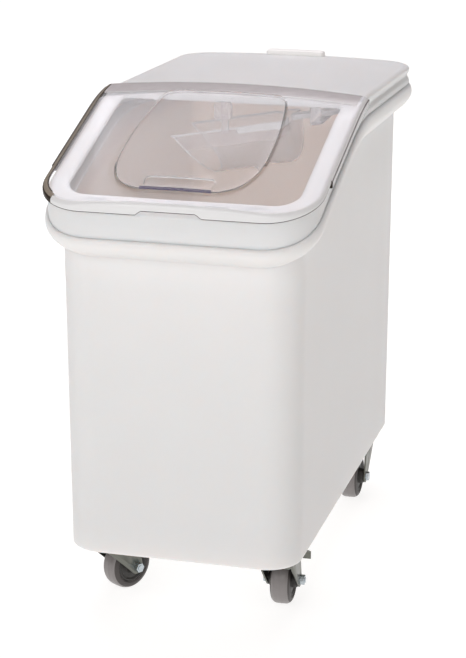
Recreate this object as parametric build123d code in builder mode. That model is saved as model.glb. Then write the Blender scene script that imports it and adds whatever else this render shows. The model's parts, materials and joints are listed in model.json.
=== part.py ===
from build123d import *
import os
from math import cos, radians, sin, sqrt, tan

# Rolling ingredient bin: a moulded bin on four casters, a white cover with a sloped
# opening, a clear lid that slides back over the cover, and a scoop hung inside.
# Millimetres. Origin on the floor under the middle of the bin, +Y to the back, +Z up.

# Bin
wall = 4.0
bin_floor = 10.0
bin_corner = 52.0
bin_draft = 0.3
bin_foot_round = 3.0

# Rolled flange around the bin's mouth
flange_width = 400.0
flange_depth = 749.0
flange_corner = 78.0
flange_height = 35.0
flange_reach_x = 28.0
flange_reach_y = 29.5
flange_taper_height = 26.0
flange_taper_depth = 24.0
flange_edge_round = 5.0

# Side curve of the flange's top: a slope at the front, a knee, a gentle fall to the back
knee_y = -46.0
knee_z = 682.0
knee_radius = 350.0
slope_angle = 18.2
fall_angle = 1.7

# White cover. Rises are heights over the side curve.
cover_wall = 4.0
cover_inset = 4.5
cover_rise = 35.0
deck_rise = 39.0
deck_crown = 5.0
deck_front_y = -47.0
opening_front_inset = 49.5
opening_corner = 34.0
opening_rear_corner = 10.0
lip_wall = 3.0
opening_lip_rise = 25.0
seat_gap = 0.3
locating_lip = 10.0
locating_gap = 1.0
groove_low = 22.0
groove_high = 31.0
groove_depth = 2.5

# Clear sliding lid
lid_wall = 3.0
lid_skirt = 4.0
lid_gap = 0.5
lid_rise = 43.0
lid_crown = 10.0
lid_rear_y = -28.0
rail_width = 3.5
rail_drop = 6.0
rail_height = 4.0
rail_front_inset = 106.5
plateau_rise = 4.0
plateau_rear_inset = 40.0
plateau_front_inset = 33.5
plateau_rear_width = 172.0
plateau_width = 228.0
plateau_widest_inset = 124.5
plateau_front_width = 160.0
plateau_rear_corner = 26.0
plateau_front_corner = 38.0
plateau_bend = 230.0
grip_width = 100.0
grip_depth = 4.0
grip_height = 3.0
pocket_length = 28.0
notch_width = 96.0
notch_top_width = 76.0
notch_height = 6.0

# Stop at the back of the cover
stop_width = 97.0
stop_depth = 22.0
stop_height = 8.0
stop_rear_gap = 8.0

# Scoop, hung on a slant under the deck, and its two hooks
scoop_x = -98.0
scoop_y = 16.0
scoop_z = 648.0
scoop_tilt = 10.6
bowl_length = 180.0
bowl_width = 100.0
bowl_straight = 20.0
scoop_wall = 2.0
mouth_angle = 35.0
scoop_rim = 4.0
handle_length = 72.0
handle_width = 28.0
handle_thick = 8.0
hook_gap = 0.3
hook_thick = 4.0
hook_side_gap = 2.0
rim_hook_x = -12.0
rim_hook_width = 10.0
hook_button = 26.0
hook_button_depth = 8.0
hook_button_corner = 6.0
hook_neck = 11.0
hook_neck_drop = 9.0
handle_hook_inset = 24.0
handle_hook_width = 16.0
hook_tip = 8.0

# Casters
caster_height = 95.5
wheel_diameter = 75.0
tread_width = 30.0
tread_round = 9.0
core_diameter = 52.0
core_rim = 4.0
core_rim_width = 28.0
hub_width = 42.4
hub_diameter = 24.0
web_width = 26.0
axle_diameter = 8.0
sleeve_diameter = 12.0
running_gap = 0.05
side_gap = 1.0
fork_steel = 2.5
plate_steel = 3.0
plate_width = 60.0
plate_length = 92.0
plate_corner = 8.0
bolt_row_x = 44.5
bolt_row_y = 73.0
trail = 38.0
crown_radius = 27.0
crown_cup = 4.0
ball_diameter = 5.0
ball_circle = 36.0
ball_count = 18
race_height = 3.5
race_edge = 2.5
ball_gap = 0.3
kingpin_diameter = 12.0
kingpin_head = 20.0
kingpin_head_height = 3.5
leg_end_radius = 11.0
leg_top_radius = 5.0
leg_front = 14.0
leg_back = 34.0
front_inset_x = 40.5
front_inset_y = 75.0
rear_inset_x = 36.0
rear_inset_y = 95.0
left_yaw = -31.0
right_yaw = 2.0
rear_yaw = 180.0

# Caster fasteners
bolt_diameter = 8.0
bolt_clearance = 0.4
hex_across = 13.0
hex_height = 5.3
nut_height = 8.0
insert_diameter = 12.0
insert_length = 8.0
bolt_end_gap = 1.0

# Brake pedal of a front caster
pivot_back = 30.0
pivot_up = 34.0
pivot_diameter = 5.0
pivot_head = 9.0
pivot_head_height = 1.5
ear_radius = 6.0
pedal_hub_radius = 5.5
lobe_back = 8.5
lobe_down = 6.0
lobe_radius = 3.0
pad_start = 9.0
pedal_reach = 27.0
pedal_drop = 13.5
pedal_lip = 10.0
pedal_thick = 2.5
pedal_width = 58.0

# Sizes that follow from the ones above
front_y = -flange_depth / 2
bin_width = flange_width - 2 * flange_reach_x
bin_depth = flange_depth - 2 * flange_reach_y
front_caster_x = bin_width / 2 - front_inset_x
front_caster_y = front_inset_y - bin_depth / 2
rear_caster_x = bin_width / 2 - rear_inset_x
rear_caster_y = bin_depth / 2 - rear_inset_y
opening_front_y = front_y + opening_front_inset
rail_front_y = front_y + rail_front_inset
plateau_front_y = front_y + plateau_front_inset
plateau_widest_y = front_y + plateau_widest_inset
plateau_rear_y = lid_rear_y - plateau_rear_inset
cover_width = flange_width - 2 * cover_inset
cover_depth = flange_depth - 2 * cover_inset
cover_corner = flange_corner - cover_inset
lid_bottom = cover_rise + seat_gap
lid_half = cover_width / 2 + lid_gap + lid_skirt
mouth_growth = 2 * (knee_z - (knee_y - front_y) * tan(radians(slope_angle)) - flange_height
                    - caster_height - bin_floor) * tan(radians(bin_draft))
locating_width = bin_width - 2 * wall + mouth_growth - 2 * locating_gap
locating_depth = bin_depth - 2 * wall + mouth_growth - 2 * locating_gap
locating_corner = bin_corner - wall - locating_gap
opening_width = locating_width - 2 * lip_wall
leg_inner = hub_width / 2 + side_gap
leg_outer = leg_inner + fork_steel
plate_under = caster_height - plate_steel
crown_top = plate_under - race_height - ball_gap - ball_diameter
crown_under = crown_top - fork_steel
axle_z = wheel_diameter / 2
pivot_y = trail + pivot_back
pivot_z = axle_z + pivot_up
sky = 2 * knee_z
roof_overhang = flange_height
roof_depth = cover_rise / 2
facing = 0.5

os.makedirs("parts", exist_ok=True)


def save(piece, name):
    """Label a finished piece and write it under its own name."""
    piece.label = name
    export_step(piece, f"parts/{name}.step")


# Shapes that follow the side curve

def side_points(rise):
    """Front, knee and rear points of the side curve, moved up by a rise."""
    reach = flange_depth / 2 + flange_height
    front = (-reach, knee_z + rise - (knee_y + reach) * tan(radians(slope_angle)))
    rear = (reach, knee_z + rise - (reach - knee_y) * tan(radians(fall_angle)))
    return front, (knee_y, knee_z + rise), rear


def height_at(y):
    """Height of the side curve's straight runs over a place."""
    if y < knee_y:
        return knee_z - (knee_y - y) * tan(radians(slope_angle))
    return knee_z - (y - knee_y) * tan(radians(fall_angle))


def bent_prism(outline, low, high):
    """A plan outline raised into a band between the side curve at two rises."""
    with BuildPart() as prism:
        with BuildSketch(Plane.XY):
            add(outline)
        extrude(amount=sky)
        with BuildSketch(Plane.YZ):
            with BuildLine():
                under = FilletPolyline(*side_points(low), radius=knee_radius)
                over = FilletPolyline(*side_points(high), radius=knee_radius)
                Line(under @ 0, over @ 0)
                Line(under @ 1, over @ 1)
            make_face()
        extrude(amount=flange_width, both=True, mode=Mode.INTERSECT)
    return prism.part


def crowned_prism(outline, half_width, rise, crown):
    """A plan outline under a roof that is arched across and bent along the side curve."""
    arch_radius = (half_width ** 2 + crown ** 2) / (2 * crown)
    side = half_width + roof_overhang
    eaves = crown - arch_radius + sqrt(arch_radius ** 2 - side ** 2)
    with BuildPart() as prism:
        with BuildLine(Plane.YZ) as spine:
            FilletPolyline(*side_points(rise), radius=knee_radius)
        with BuildSketch(Plane(origin=spine.line @ 0, x_dir=(-1, 0, 0), z_dir=spine.line % 0)):
            with BuildLine():
                ThreePointArc((-side, eaves), (0, crown), (side, eaves))
                Polyline((side, eaves), (side, -roof_depth), (-side, -roof_depth), (-side, eaves))
            make_face()
        sweep()
        with BuildSketch(Plane.XY):
            add(outline)
        extrude(amount=sky, mode=Mode.INTERSECT)
    return prism.part


def rim_edges(faces):
    """Edges around the flange, without the seams that cross it between the corners."""
    straight_end = flange_depth / 2 - flange_corner
    crossing = faces.edges().filter_by(Axis.X)
    seams = crossing.filter_by(lambda edge: abs(edge.center().Y) < straight_end)
    return faces.edges() - seams


def rounded_plan(width, depth, corner, from_y=-flange_depth, to_y=flange_depth):
    """A rounded rectangle seen from above, kept between a front and a rear line."""
    with BuildSketch() as plan:
        RectangleRounded(width, depth, corner)
        with Locations((0, (from_y + to_y) / 2)):
            Rectangle(2 * width, to_y - from_y, mode=Mode.INTERSECT)
    return plan.sketch


def ring_plan(outer, inner):
    """The space between two plan outlines."""
    with BuildSketch() as plan:
        add(outer)
        add(inner, mode=Mode.SUBTRACT)
    return plan.sketch


# Casters: each is drawn in its own frame, with the axle along X and the trail towards +Y

def caster_frame(x, y, yaw):
    """A frame on the floor under a caster's mounting plate."""
    return Plane(origin=(x, y, 0), x_dir=(cos(radians(yaw)), sin(radians(yaw)), 0), z_dir=(0, 0, 1))


def level(frame, z):
    """A level plane in a caster's frame."""
    return Plane(frame.location * Plane.XY.offset(z).location)


def upright(frame, x):
    """A plane across the axle in a caster's frame: its own x runs back and its own y runs up."""
    return Plane(frame.location * Plane.YZ.offset(x).location)


def axle_section(frame):
    """A plane through the axle: its own x runs along the axle and its own y away from it."""
    section = Plane(origin=(0, trail, axle_z), x_dir=(1, 0, 0), z_dir=(0, -1, 0))
    return Plane(frame.location * section.location)


def turned(section, boxes, round_radius=0.0):
    """A turned piece from boxes given as half width, inner radius and outer radius."""
    with BuildPart() as piece:
        with BuildSketch(section) as profile:
            for half, inner, outer in boxes:
                with Locations((0, (inner + outer) / 2)):
                    Rectangle(2 * half, outer - inner)
            if round_radius:
                fillet(profile.vertices().group_by(Axis.Y)[-1], round_radius)
        revolve(axis=Axis(section.origin, section.x_dir))
    return piece.part


def make_wheel(frame, name):
    """Tread, core and sleeve of one wheel."""
    section = axle_section(frame)
    core_radius = core_diameter / 2
    save(turned(section, [(tread_width / 2, core_radius + running_gap, wheel_diameter / 2)], tread_round),
         f"{name}_wheel_tread")
    hub_radius = hub_diameter / 2
    core = [
        (hub_width / 2, sleeve_diameter / 2 + running_gap, hub_radius),
        (web_width / 2, hub_radius, core_radius - core_rim),
        (core_rim_width / 2, core_radius - core_rim, core_radius),
    ]
    save(turned(section, core), f"{name}_wheel_core")
    sleeve = [(leg_inner - running_gap, axle_diameter / 2 + running_gap, sleeve_diameter / 2)]
    save(turned(section, sleeve), f"{name}_axle_sleeve")


def make_axle(frame, name):
    """Hex bolt and nut of one axle."""
    shank_end = leg_outer + nut_height
    with BuildPart() as bolt:
        with BuildSketch(upright(frame, -leg_outer)):
            with Locations((trail, axle_z)):
                RegularPolygon(hex_across / 2, 6, major_radius=False)
        extrude(amount=-hex_height)
        with BuildSketch(upright(frame, -leg_outer)):
            with Locations((trail, axle_z)):
                Circle(axle_diameter / 2)
        extrude(amount=leg_outer + shank_end)
    save(bolt.part, f"{name}_axle_bolt")
    with BuildPart() as nut:
        with BuildSketch(upright(frame, leg_outer)):
            with Locations((trail, axle_z)):
                RegularPolygon(hex_across / 2, 6, major_radius=False)
                Circle(axle_diameter / 2 + running_gap, mode=Mode.SUBTRACT)
        extrude(amount=nut_height - bolt_end_gap)
    save(nut.part, f"{name}_axle_nut")


def add_legs(frame, places):
    """Fork legs: the hull of round places given as y, z and radius, on both sides of the wheel."""
    for start in (leg_inner, -leg_outer):
        with BuildSketch(upright(frame, start)) as leg:
            for y, z, radius in places:
                with Locations((y, z)):
                    Circle(radius)
            make_hull()
        extrude(leg.sketch, amount=fork_steel)


def cut_across(frame, y, z, radius):
    """A hole through both legs."""
    with BuildSketch(upright(frame, -leg_outer)) as hole:
        with Locations((y, z)):
            Circle(radius)
    extrude(hole.sketch, amount=2 * leg_outer, mode=Mode.SUBTRACT)


def plate_holes(frame):
    """The four bolt holes of a mounting plate."""
    with BuildSketch(level(frame, plate_under)) as holes:
        with GridLocations(bolt_row_x, bolt_row_y, 2, 2):
            Circle((bolt_diameter + bolt_clearance) / 2)
    extrude(holes.sketch, amount=plate_steel, mode=Mode.SUBTRACT)


def make_caster(x, y, yaw, name, braked):
    """A swivel caster: plate, kingpin, balls, fork, wheel, axle and, where it has one, its brake."""
    mount = caster_frame(x, y, 0)
    frame = caster_frame(x, y, yaw)

    with BuildPart() as plate:
        with BuildSketch(level(mount, plate_under)):
            RectangleRounded(plate_width, plate_length, plate_corner)
        extrude(amount=plate_steel)
        with BuildSketch(level(mount, plate_under)):
            Circle((ball_circle + ball_diameter) / 2 + race_edge)
        extrude(amount=-race_height)
        with BuildSketch(level(mount, caster_height)):
            Circle(kingpin_diameter / 2 + running_gap)
        extrude(amount=-plate_steel - race_height, mode=Mode.SUBTRACT)
        plate_holes(mount)
    save(plate.part, f"{name}_plate")

    head_top = crown_under - ball_gap
    with BuildPart() as kingpin:
        with BuildSketch(level(mount, head_top)):
            Circle(kingpin_head / 2)
        extrude(amount=-kingpin_head_height)
        with BuildSketch(level(mount, head_top)):
            Circle(kingpin_diameter / 2)
        extrude(amount=caster_height - head_top)
    save(kingpin.part, f"{name}_kingpin")

    with BuildPart(level(frame, crown_top + ball_diameter / 2)) as balls:
        with PolarLocations(ball_circle / 2, ball_count):
            Sphere(ball_diameter / 2)
    save(balls.part, f"{name}_balls")

    with BuildPart() as fork:
        with BuildSketch(level(frame, crown_under)):
            Circle(crown_radius)
            with Locations((0, (leg_back - leg_front) / 2)):
                Rectangle(2 * leg_outer, leg_front + leg_back + 2 * leg_top_radius)
        extrude(amount=fork_steel)
        with BuildSketch(level(frame, crown_top)):
            Circle(crown_radius)
            Circle(crown_radius - fork_steel, mode=Mode.SUBTRACT)
        extrude(amount=crown_cup)
        leg_top = crown_top - leg_top_radius
        leg_corner = (leg_back, leg_top, leg_top_radius)
        add_legs(frame, [(trail, axle_z, leg_end_radius), (-leg_front, leg_top, leg_top_radius), leg_corner])
        if braked:
            add_legs(frame, [(pivot_y, pivot_z, ear_radius), leg_corner])
            cut_across(frame, pivot_y, pivot_z, pivot_diameter / 2 + running_gap)
        cut_across(frame, trail, axle_z, axle_diameter / 2 + running_gap)
        with BuildSketch(level(frame, crown_under)):
            Circle(kingpin_diameter / 2 + running_gap)
        extrude(amount=fork_steel, mode=Mode.SUBTRACT)
    save(fork.part, f"{name}_fork")

    if braked:
        make_brake(frame, name)
    make_wheel(frame, name)
    make_axle(frame, name)


def make_brake(frame, name):
    """Brake pedal of a front caster, with its pivot pin."""
    with BuildPart() as pedal:
        inner_half = leg_inner - side_gap
        with BuildSketch(upright(frame, 0)):
            with Locations((pivot_y, pivot_z)):
                Circle(pedal_hub_radius)
            with Locations((pivot_y + lobe_back, pivot_z - lobe_down)):
                Circle(lobe_radius)
            make_hull()
        extrude(amount=inner_half, both=True)
        pivot = (pivot_y, pivot_z)
        pad_begin = (pivot_y + pad_start, pivot_z - pedal_drop * pad_start / pedal_reach)
        pad_end = (pivot_y + pedal_reach, pivot_z - pedal_drop)
        lip_end = (pivot_y + pedal_reach, pivot_z - pedal_drop - pedal_lip)
        for bends, half in (((pivot, pad_end), inner_half), ((pad_begin, pad_end, lip_end), pedal_width / 2)):
            with BuildSketch(upright(frame, 0)):
                with BuildLine():
                    Polyline(*bends)
                    offset(amount=pedal_thick / 2)
                make_face()
            extrude(amount=half, both=True)
        cut_across(frame, pivot_y, pivot_z, pivot_diameter / 2 + running_gap)
    save(pedal.part, f"{name}_brake_pedal")

    with BuildPart() as pin:
        with BuildSketch(upright(frame, 0)):
            with Locations((pivot_y, pivot_z)):
                Circle(pivot_diameter / 2)
        extrude(amount=leg_outer, both=True)
        for start, out in ((leg_outer, pivot_head_height), (-leg_outer, -pivot_head_height)):
            with BuildSketch(upright(frame, start)):
                with Locations((pivot_y, pivot_z)):
                    Circle(pivot_head / 2)
            extrude(amount=out)
    save(pin.part, f"{name}_brake_pin")


caster_places = [
    (-front_caster_x, front_caster_y),
    (front_caster_x, front_caster_y),
    (-rear_caster_x, rear_caster_y),
    (rear_caster_x, rear_caster_y),
]
bolt_places = [
    (x + side * bolt_row_x / 2, y + end * bolt_row_y / 2)
    for x, y in caster_places
    for side in (-1, 1)
    for end in (-1, 1)
]

# Bin: drafted walls under a flange whose underside tapers back to the wall
flange_plan = rounded_plan(flange_width, flange_depth, flange_corner)
flange_ring = bent_prism(flange_plan, -flange_height, 0)
under_curve = bent_prism(flange_plan, -sky, 0)
with BuildPart() as bin_wall:
    with BuildSketch(Plane.XY.offset(caster_height)):
        RectangleRounded(bin_width, bin_depth, bin_corner)
    extrude(amount=knee_z, taper=-bin_draft)
    fillet(bin_wall.edges().group_by(Axis.Z)[0], bin_foot_round)
    add(under_curve, mode=Mode.INTERSECT)
with BuildPart() as bin_body:
    add(flange_ring)
    underside = bin_body.faces().filter_by(lambda face: face.normal_at().Z < -facing).sort_by(SortBy.AREA)[-1]
    chamfer(rim_edges(underside), flange_taper_depth, flange_taper_height, reference=underside)
    upper = bin_body.faces().filter_by(lambda face: face.normal_at().Z > facing)
    fillet(rim_edges(upper), flange_edge_round)
    add(bin_wall.part)
    with BuildSketch(Plane.XY.offset(caster_height + bin_floor)):
        RectangleRounded(bin_width - 2 * wall, bin_depth - 2 * wall, bin_corner - wall)
    extrude(amount=knee_z, taper=-bin_draft, mode=Mode.SUBTRACT)
    with BuildSketch(Plane.XY.offset(caster_height)):
        with Locations(*bolt_places):
            Circle(insert_diameter / 2 + running_gap)
    extrude(amount=insert_length, mode=Mode.SUBTRACT)
save(bin_body.part, "bin_body")

# White cover: skirt and frame, crowned deck behind the opening, lips under both
cover_plan = rounded_plan(cover_width, cover_depth, cover_corner)
deck_plan = rounded_plan(cover_width, cover_depth, cover_corner, from_y=deck_front_y)
hollow = [cover_width - 2 * cover_wall, cover_depth - 2 * cover_wall, cover_corner - cover_wall]
hollow_plan = rounded_plan(*hollow)
deck_hollow_plan = rounded_plan(*hollow, from_y=deck_front_y + cover_wall)
with BuildSketch() as opening_plan:
    with Locations((0, (opening_front_y + deck_front_y) / 2)):
        Rectangle(opening_width, deck_front_y - opening_front_y)
    rows = opening_plan.vertices().group_by(Axis.Y)
    fillet(rows[-1], opening_rear_corner)
    fillet(opening_plan.vertices().group_by(Axis.Y)[0], opening_corner)
lip_plan = ring_plan(offset(opening_plan.sketch, lip_wall), opening_plan.sketch)
locating_plan = ring_plan(
    rounded_plan(locating_width, locating_depth, locating_corner),
    rounded_plan(locating_width - 2 * lip_wall, locating_depth - 2 * lip_wall, locating_corner - lip_wall),
)
under_frame = cover_rise - cover_wall
lip_top = cover_rise - cover_wall / 2
cover_block = bent_prism(cover_plan, seat_gap, cover_rise)
deck_block = crowned_prism(deck_plan, cover_width / 2, deck_rise, deck_crown)
cover_hollow = bent_prism(hollow_plan, -cover_rise, under_frame)
deck_hollow = crowned_prism(deck_hollow_plan, cover_width / 2, deck_rise - cover_wall, deck_crown)
opening_cut = bent_prism(opening_plan.sketch, -cover_rise, 2 * cover_rise)
opening_lip = bent_prism(lip_plan, opening_lip_rise, lip_top)
locating_ring = bent_prism(locating_plan, -locating_lip, lip_top)
groove_inner = rounded_plan(cover_width - 2 * groove_depth, cover_depth - 2 * groove_depth,
                            cover_corner - groove_depth)
groove_outer = rounded_plan(flange_width, flange_depth, flange_corner, from_y=rail_front_y)
runner_groove = bent_prism(ring_plan(groove_outer, groove_inner), groove_low, groove_high)
with BuildPart() as top_cover:
    add(cover_block)
    add(deck_block)
    add(cover_hollow, mode=Mode.SUBTRACT)
    add(deck_hollow, mode=Mode.SUBTRACT)
    add(locating_ring)
    add(opening_cut, mode=Mode.SUBTRACT)
    add(opening_lip)
    add(runner_groove, mode=Mode.SUBTRACT)
save(top_cover.part, "top_cover")

# Stop: a low block that follows the crown of the deck
with BuildSketch() as stop_plan:
    with Locations((0, cover_depth / 2 - stop_rear_gap - stop_depth / 2)):
        Rectangle(stop_width, stop_depth)
stop_block = crowned_prism(stop_plan.sketch, cover_width / 2, deck_rise + stop_height, deck_crown)
stop_seat = crowned_prism(stop_plan.sketch, cover_width / 2, deck_rise + running_gap, deck_crown)
with BuildPart() as rear_stop:
    add(stop_block)
    add(stop_seat, mode=Mode.SUBTRACT)
save(rear_stop.part, "rear_stop")

# Clear lid: a crowned shell with a raised panel, a grip, side rails and a finger notch


def plateau_plan(inset):
    """Outline of the raised panel with its finger pocket, drawn in by an inset."""
    with BuildSketch() as plan:
        with BuildLine():
            Polyline(
                (-plateau_rear_width / 2, plateau_rear_y),
                (plateau_rear_width / 2, plateau_rear_y),
                (plateau_width / 2, plateau_widest_y),
                (plateau_front_width / 2, plateau_front_y),
                (-plateau_front_width / 2, plateau_front_y),
                (-plateau_width / 2, plateau_widest_y),
                close=True,
            )
        make_face()
        rows = plan.vertices().group_by(Axis.Y)
        fillet(rows[-1], plateau_rear_corner)
        fillet(rows[1], plateau_bend)
        fillet(plan.vertices().group_by(Axis.Y)[0], plateau_front_corner)
        if inset:
            offset(amount=-inset, mode=Mode.REPLACE)
        pocket_front = plateau_front_y + grip_depth
        with Locations((0, pocket_front)):
            Rectangle(grip_width + 2 * inset, pocket_length + inset, align=(Align.CENTER, Align.MIN),
                      mode=Mode.SUBTRACT)
    return plan.sketch


lid_size = [2 * lid_half, flange_depth, cover_corner + lid_gap + lid_skirt]
shell_size = [2 * (lid_half - lid_skirt), flange_depth - 2 * lid_skirt, cover_corner + lid_gap]
lid_plan = rounded_plan(*lid_size, to_y=lid_rear_y)
shell_plan = rounded_plan(*shell_size)
rail_length = lid_rear_y - rail_front_y
with BuildSketch() as rail_plan:
    for side in (-1, 1):
        with Locations((side * (lid_half + (rail_width - lid_skirt) / 2), lid_rear_y - rail_length / 2)):
            Rectangle(rail_width + lid_skirt, rail_length)
with BuildSketch() as grip_plan:
    with Locations((0, plateau_front_y)):
        Rectangle(grip_width, grip_depth, align=(Align.CENTER, Align.MIN))
lid_roof = crowned_prism(lid_plan, lid_half, lid_rise, lid_crown)
lid_room = crowned_prism(shell_plan, lid_half, lid_rise - lid_wall, lid_crown)
panel = crowned_prism(plateau_plan(0), lid_half, lid_rise + plateau_rise, lid_crown)
panel_room = crowned_prism(plateau_plan(lid_wall), lid_half, lid_rise + plateau_rise - lid_wall, lid_crown)
grip = crowned_prism(grip_plan.sketch, lid_half, lid_rise + plateau_rise + grip_height, lid_crown)
skirt_space = bent_prism(rounded_plan(*lid_size), -sky, lid_bottom)
rails = bent_prism(rail_plan.sketch, lid_bottom - rail_drop, lid_bottom + rail_height)
notch_z = height_at(front_y) + lid_bottom
with BuildPart() as sliding_lid:
    add(lid_roof)
    add(panel)
    add(grip)
    add(lid_room, mode=Mode.SUBTRACT)
    add(panel_room, mode=Mode.SUBTRACT)
    add(skirt_space, mode=Mode.SUBTRACT)
    add(rails)
    with BuildSketch(Plane.XZ.offset(flange_depth / 2 - 2 * lid_skirt)):
        with BuildLine():
            Polyline(
                (-notch_width / 2, notch_z - notch_height),
                (-notch_width / 2, notch_z),
                (-notch_top_width / 2, notch_z + notch_height),
                (notch_top_width / 2, notch_z + notch_height),
                (notch_width / 2, notch_z),
                (notch_width / 2, notch_z - notch_height),
                close=True,
            )
        make_face()
    extrude(amount=4 * lid_skirt, mode=Mode.SUBTRACT)
save(sliding_lid.part, "sliding_lid")

# Scoop: a trough with a slanted mouth, a turned-out rim and a flat handle
scoop_frame = Plane(
    origin=(scoop_x, scoop_y, scoop_z),
    x_dir=(cos(radians(scoop_tilt)), 0, sin(radians(scoop_tilt))),
    z_dir=(-sin(radians(scoop_tilt)), 0, cos(radians(scoop_tilt))),
)
bowl_depth = bowl_straight + bowl_width / 2


def trough(half, deep, top):
    """Section of the bowl: straight sides over a half-round bottom."""
    with BuildSketch() as section:
        with BuildLine():
            ThreePointArc((-half, -bowl_straight), (0, -deep), (half, -bowl_straight))
            Polyline((half, -bowl_straight), (half, top), (-half, top), (-half, -bowl_straight))
        make_face()
    return section.sketch


with BuildPart() as scoop:
    with BuildSketch(upright(scoop_frame, 0)):
        add(trough(bowl_width / 2, bowl_depth, 0))
    extrude(amount=bowl_length)
    with BuildSketch(level(scoop_frame, 0)):
        with Locations((bowl_length / 2, 0)):
            Rectangle(bowl_length, bowl_width + 2 * scoop_rim)
    extrude(amount=-scoop_wall)
    with BuildSketch(upright(scoop_frame, -scoop_wall)):
        add(trough(bowl_width / 2 - scoop_wall, bowl_depth - scoop_wall, scoop_wall))
    extrude(amount=bowl_length, mode=Mode.SUBTRACT)
    with BuildSketch(Plane(scoop_frame.location * Plane.XZ.location)):
        with BuildLine():
            Polyline(
                (0, 0),
                (0, -2 * bowl_depth),
                (2 * bowl_depth * tan(radians(mouth_angle)), -2 * bowl_depth),
                close=True,
            )
        make_face()
    extrude(amount=bowl_width, both=True, mode=Mode.SUBTRACT)
    with BuildSketch(level(scoop_frame, 0)):
        with Locations((bowl_length - scoop_wall, 0)):
            Rectangle(handle_length - handle_width / 2 + scoop_wall, handle_width,
                      align=(Align.MIN, Align.CENTER))
        with Locations((bowl_length + handle_length - handle_width / 2, 0)):
            Circle(handle_width / 2)
    extrude(amount=-handle_thick)
save(scoop.part, "scoop")

# Hooks on the back of the deck's front lip, which carry the rim and the handle
lip_back_y = deck_front_y + lip_wall
strap_top = height_at(deck_front_y) + opening_lip_rise
handle_hook_x = scoop_x + (bowl_length + handle_length - handle_hook_inset) * cos(radians(scoop_tilt))


def foot_x(world_x):
    """Place along the scoop of an upright line."""
    return (world_x - scoop_x) / cos(radians(scoop_tilt))


def make_strap(x, width, foot_depth, foot_y, foot_reach):
    """An upright strap behind the lip with a foot under the scoop."""
    with BuildSketch(level(scoop_frame, -foot_depth)) as foot:
        with Locations((foot_x(x), foot_y)):
            Rectangle(width, foot_reach, align=(Align.CENTER, Align.MIN))
    extrude(foot.sketch, amount=-hook_thick)
    foot_z = scoop_z + (x - scoop_x) * tan(radians(scoop_tilt)) - foot_depth - hook_thick / 2
    with BuildSketch(Plane.XY.offset(foot_z)) as strap:
        with Locations((x, lip_back_y)):
            Rectangle(width, hook_thick, align=(Align.CENTER, Align.MIN))
    extrude(strap.sketch, amount=strap_top - foot_z)


strap_y = lip_back_y - scoop_y
with BuildPart() as rim_hook:
    under_rim = -bowl_width / 2 - hook_gap - strap_y
    make_strap(rim_hook_x, rim_hook_width, scoop_wall + hook_gap, strap_y, under_rim)
    with BuildSketch(Plane.XZ.offset(-deck_front_y)):
        with Locations((rim_hook_x, strap_top - hook_button / 2)):
            RectangleRounded(hook_button, hook_button, hook_button_corner)
    extrude(amount=hook_button_depth)
    with BuildSketch(Plane.XZ.offset(-lip_back_y)):
        with Locations((rim_hook_x, strap_top - hook_neck_drop)):
            Rectangle(rim_hook_width, hook_neck, align=(Align.CENTER, Align.MAX))
    extrude(amount=lip_wall)
save(rim_hook.part, "rim_hook")

with BuildPart() as handle_hook:
    arm = handle_width / 2 + hook_side_gap - strap_y
    make_strap(handle_hook_x, handle_hook_width, handle_thick + hook_gap, strap_y, arm)
    with BuildSketch(level(scoop_frame, -handle_thick - hook_gap - hook_thick)):
        with Locations((foot_x(handle_hook_x), strap_y + arm)):
            Rectangle(handle_hook_width, hook_thick, align=(Align.CENTER, Align.MIN))
    extrude(amount=hook_thick + hook_tip)
save(handle_hook.part, "handle_hook")

# Casters and what fastens them
make_caster(-front_caster_x, front_caster_y, left_yaw, "front_left", braked=True)
make_caster(front_caster_x, front_caster_y, right_yaw, "front_right", braked=True)
make_caster(-rear_caster_x, rear_caster_y, rear_yaw, "rear_left", braked=False)
make_caster(rear_caster_x, rear_caster_y, rear_yaw, "rear_right", braked=False)

with BuildPart() as threaded_inserts:
    with BuildSketch(Plane.XY.offset(caster_height)):
        with Locations(*bolt_places):
            Circle(insert_diameter / 2)
            Circle(bolt_diameter / 2 + running_gap, mode=Mode.SUBTRACT)
    extrude(amount=insert_length)
save(threaded_inserts.part, "threaded_inserts")

with BuildPart() as plate_bolts:
    with BuildSketch(Plane.XY.offset(plate_under)):
        with Locations(*bolt_places):
            RegularPolygon(hex_across / 2, 6, major_radius=False)
    extrude(amount=-hex_height)
    with BuildSketch(Plane.XY.offset(plate_under)):
        with Locations(*bolt_places):
            Circle(bolt_diameter / 2)
    extrude(amount=plate_steel + insert_length - bolt_end_gap)
save(plate_bolts.part, "plate_bolts")
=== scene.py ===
import json
from math import atan2, cos, pi, radians, sin, sqrt, tan

import bmesh
import bpy
from bpy.props import FloatProperty, FloatVectorProperty, IntProperty, PointerProperty
from bpy.types import Operator, Panel, PropertyGroup
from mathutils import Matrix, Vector
from mathutils.geometry import delaunay_2d_cdt
from mathutils.kdtree import KDTree


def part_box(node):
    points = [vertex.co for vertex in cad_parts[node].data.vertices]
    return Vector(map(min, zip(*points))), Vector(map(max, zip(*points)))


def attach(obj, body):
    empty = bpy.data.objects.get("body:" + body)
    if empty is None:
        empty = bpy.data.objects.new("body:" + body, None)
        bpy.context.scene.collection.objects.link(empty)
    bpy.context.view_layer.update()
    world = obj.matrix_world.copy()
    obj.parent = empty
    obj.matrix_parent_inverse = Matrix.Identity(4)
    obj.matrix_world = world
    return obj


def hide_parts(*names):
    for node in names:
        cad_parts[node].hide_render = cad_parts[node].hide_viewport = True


bl_info = {
    "name": "Rolling ingredient bin",
    "version": (1, 0, 0),
    "blender": (4, 5, 0),
    "location": "3D View > Sidebar > Bin",
    "description": "Makes the surfaces of a rolling ingredient bin around its packed parts",
    "category": "Object",
}

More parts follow.
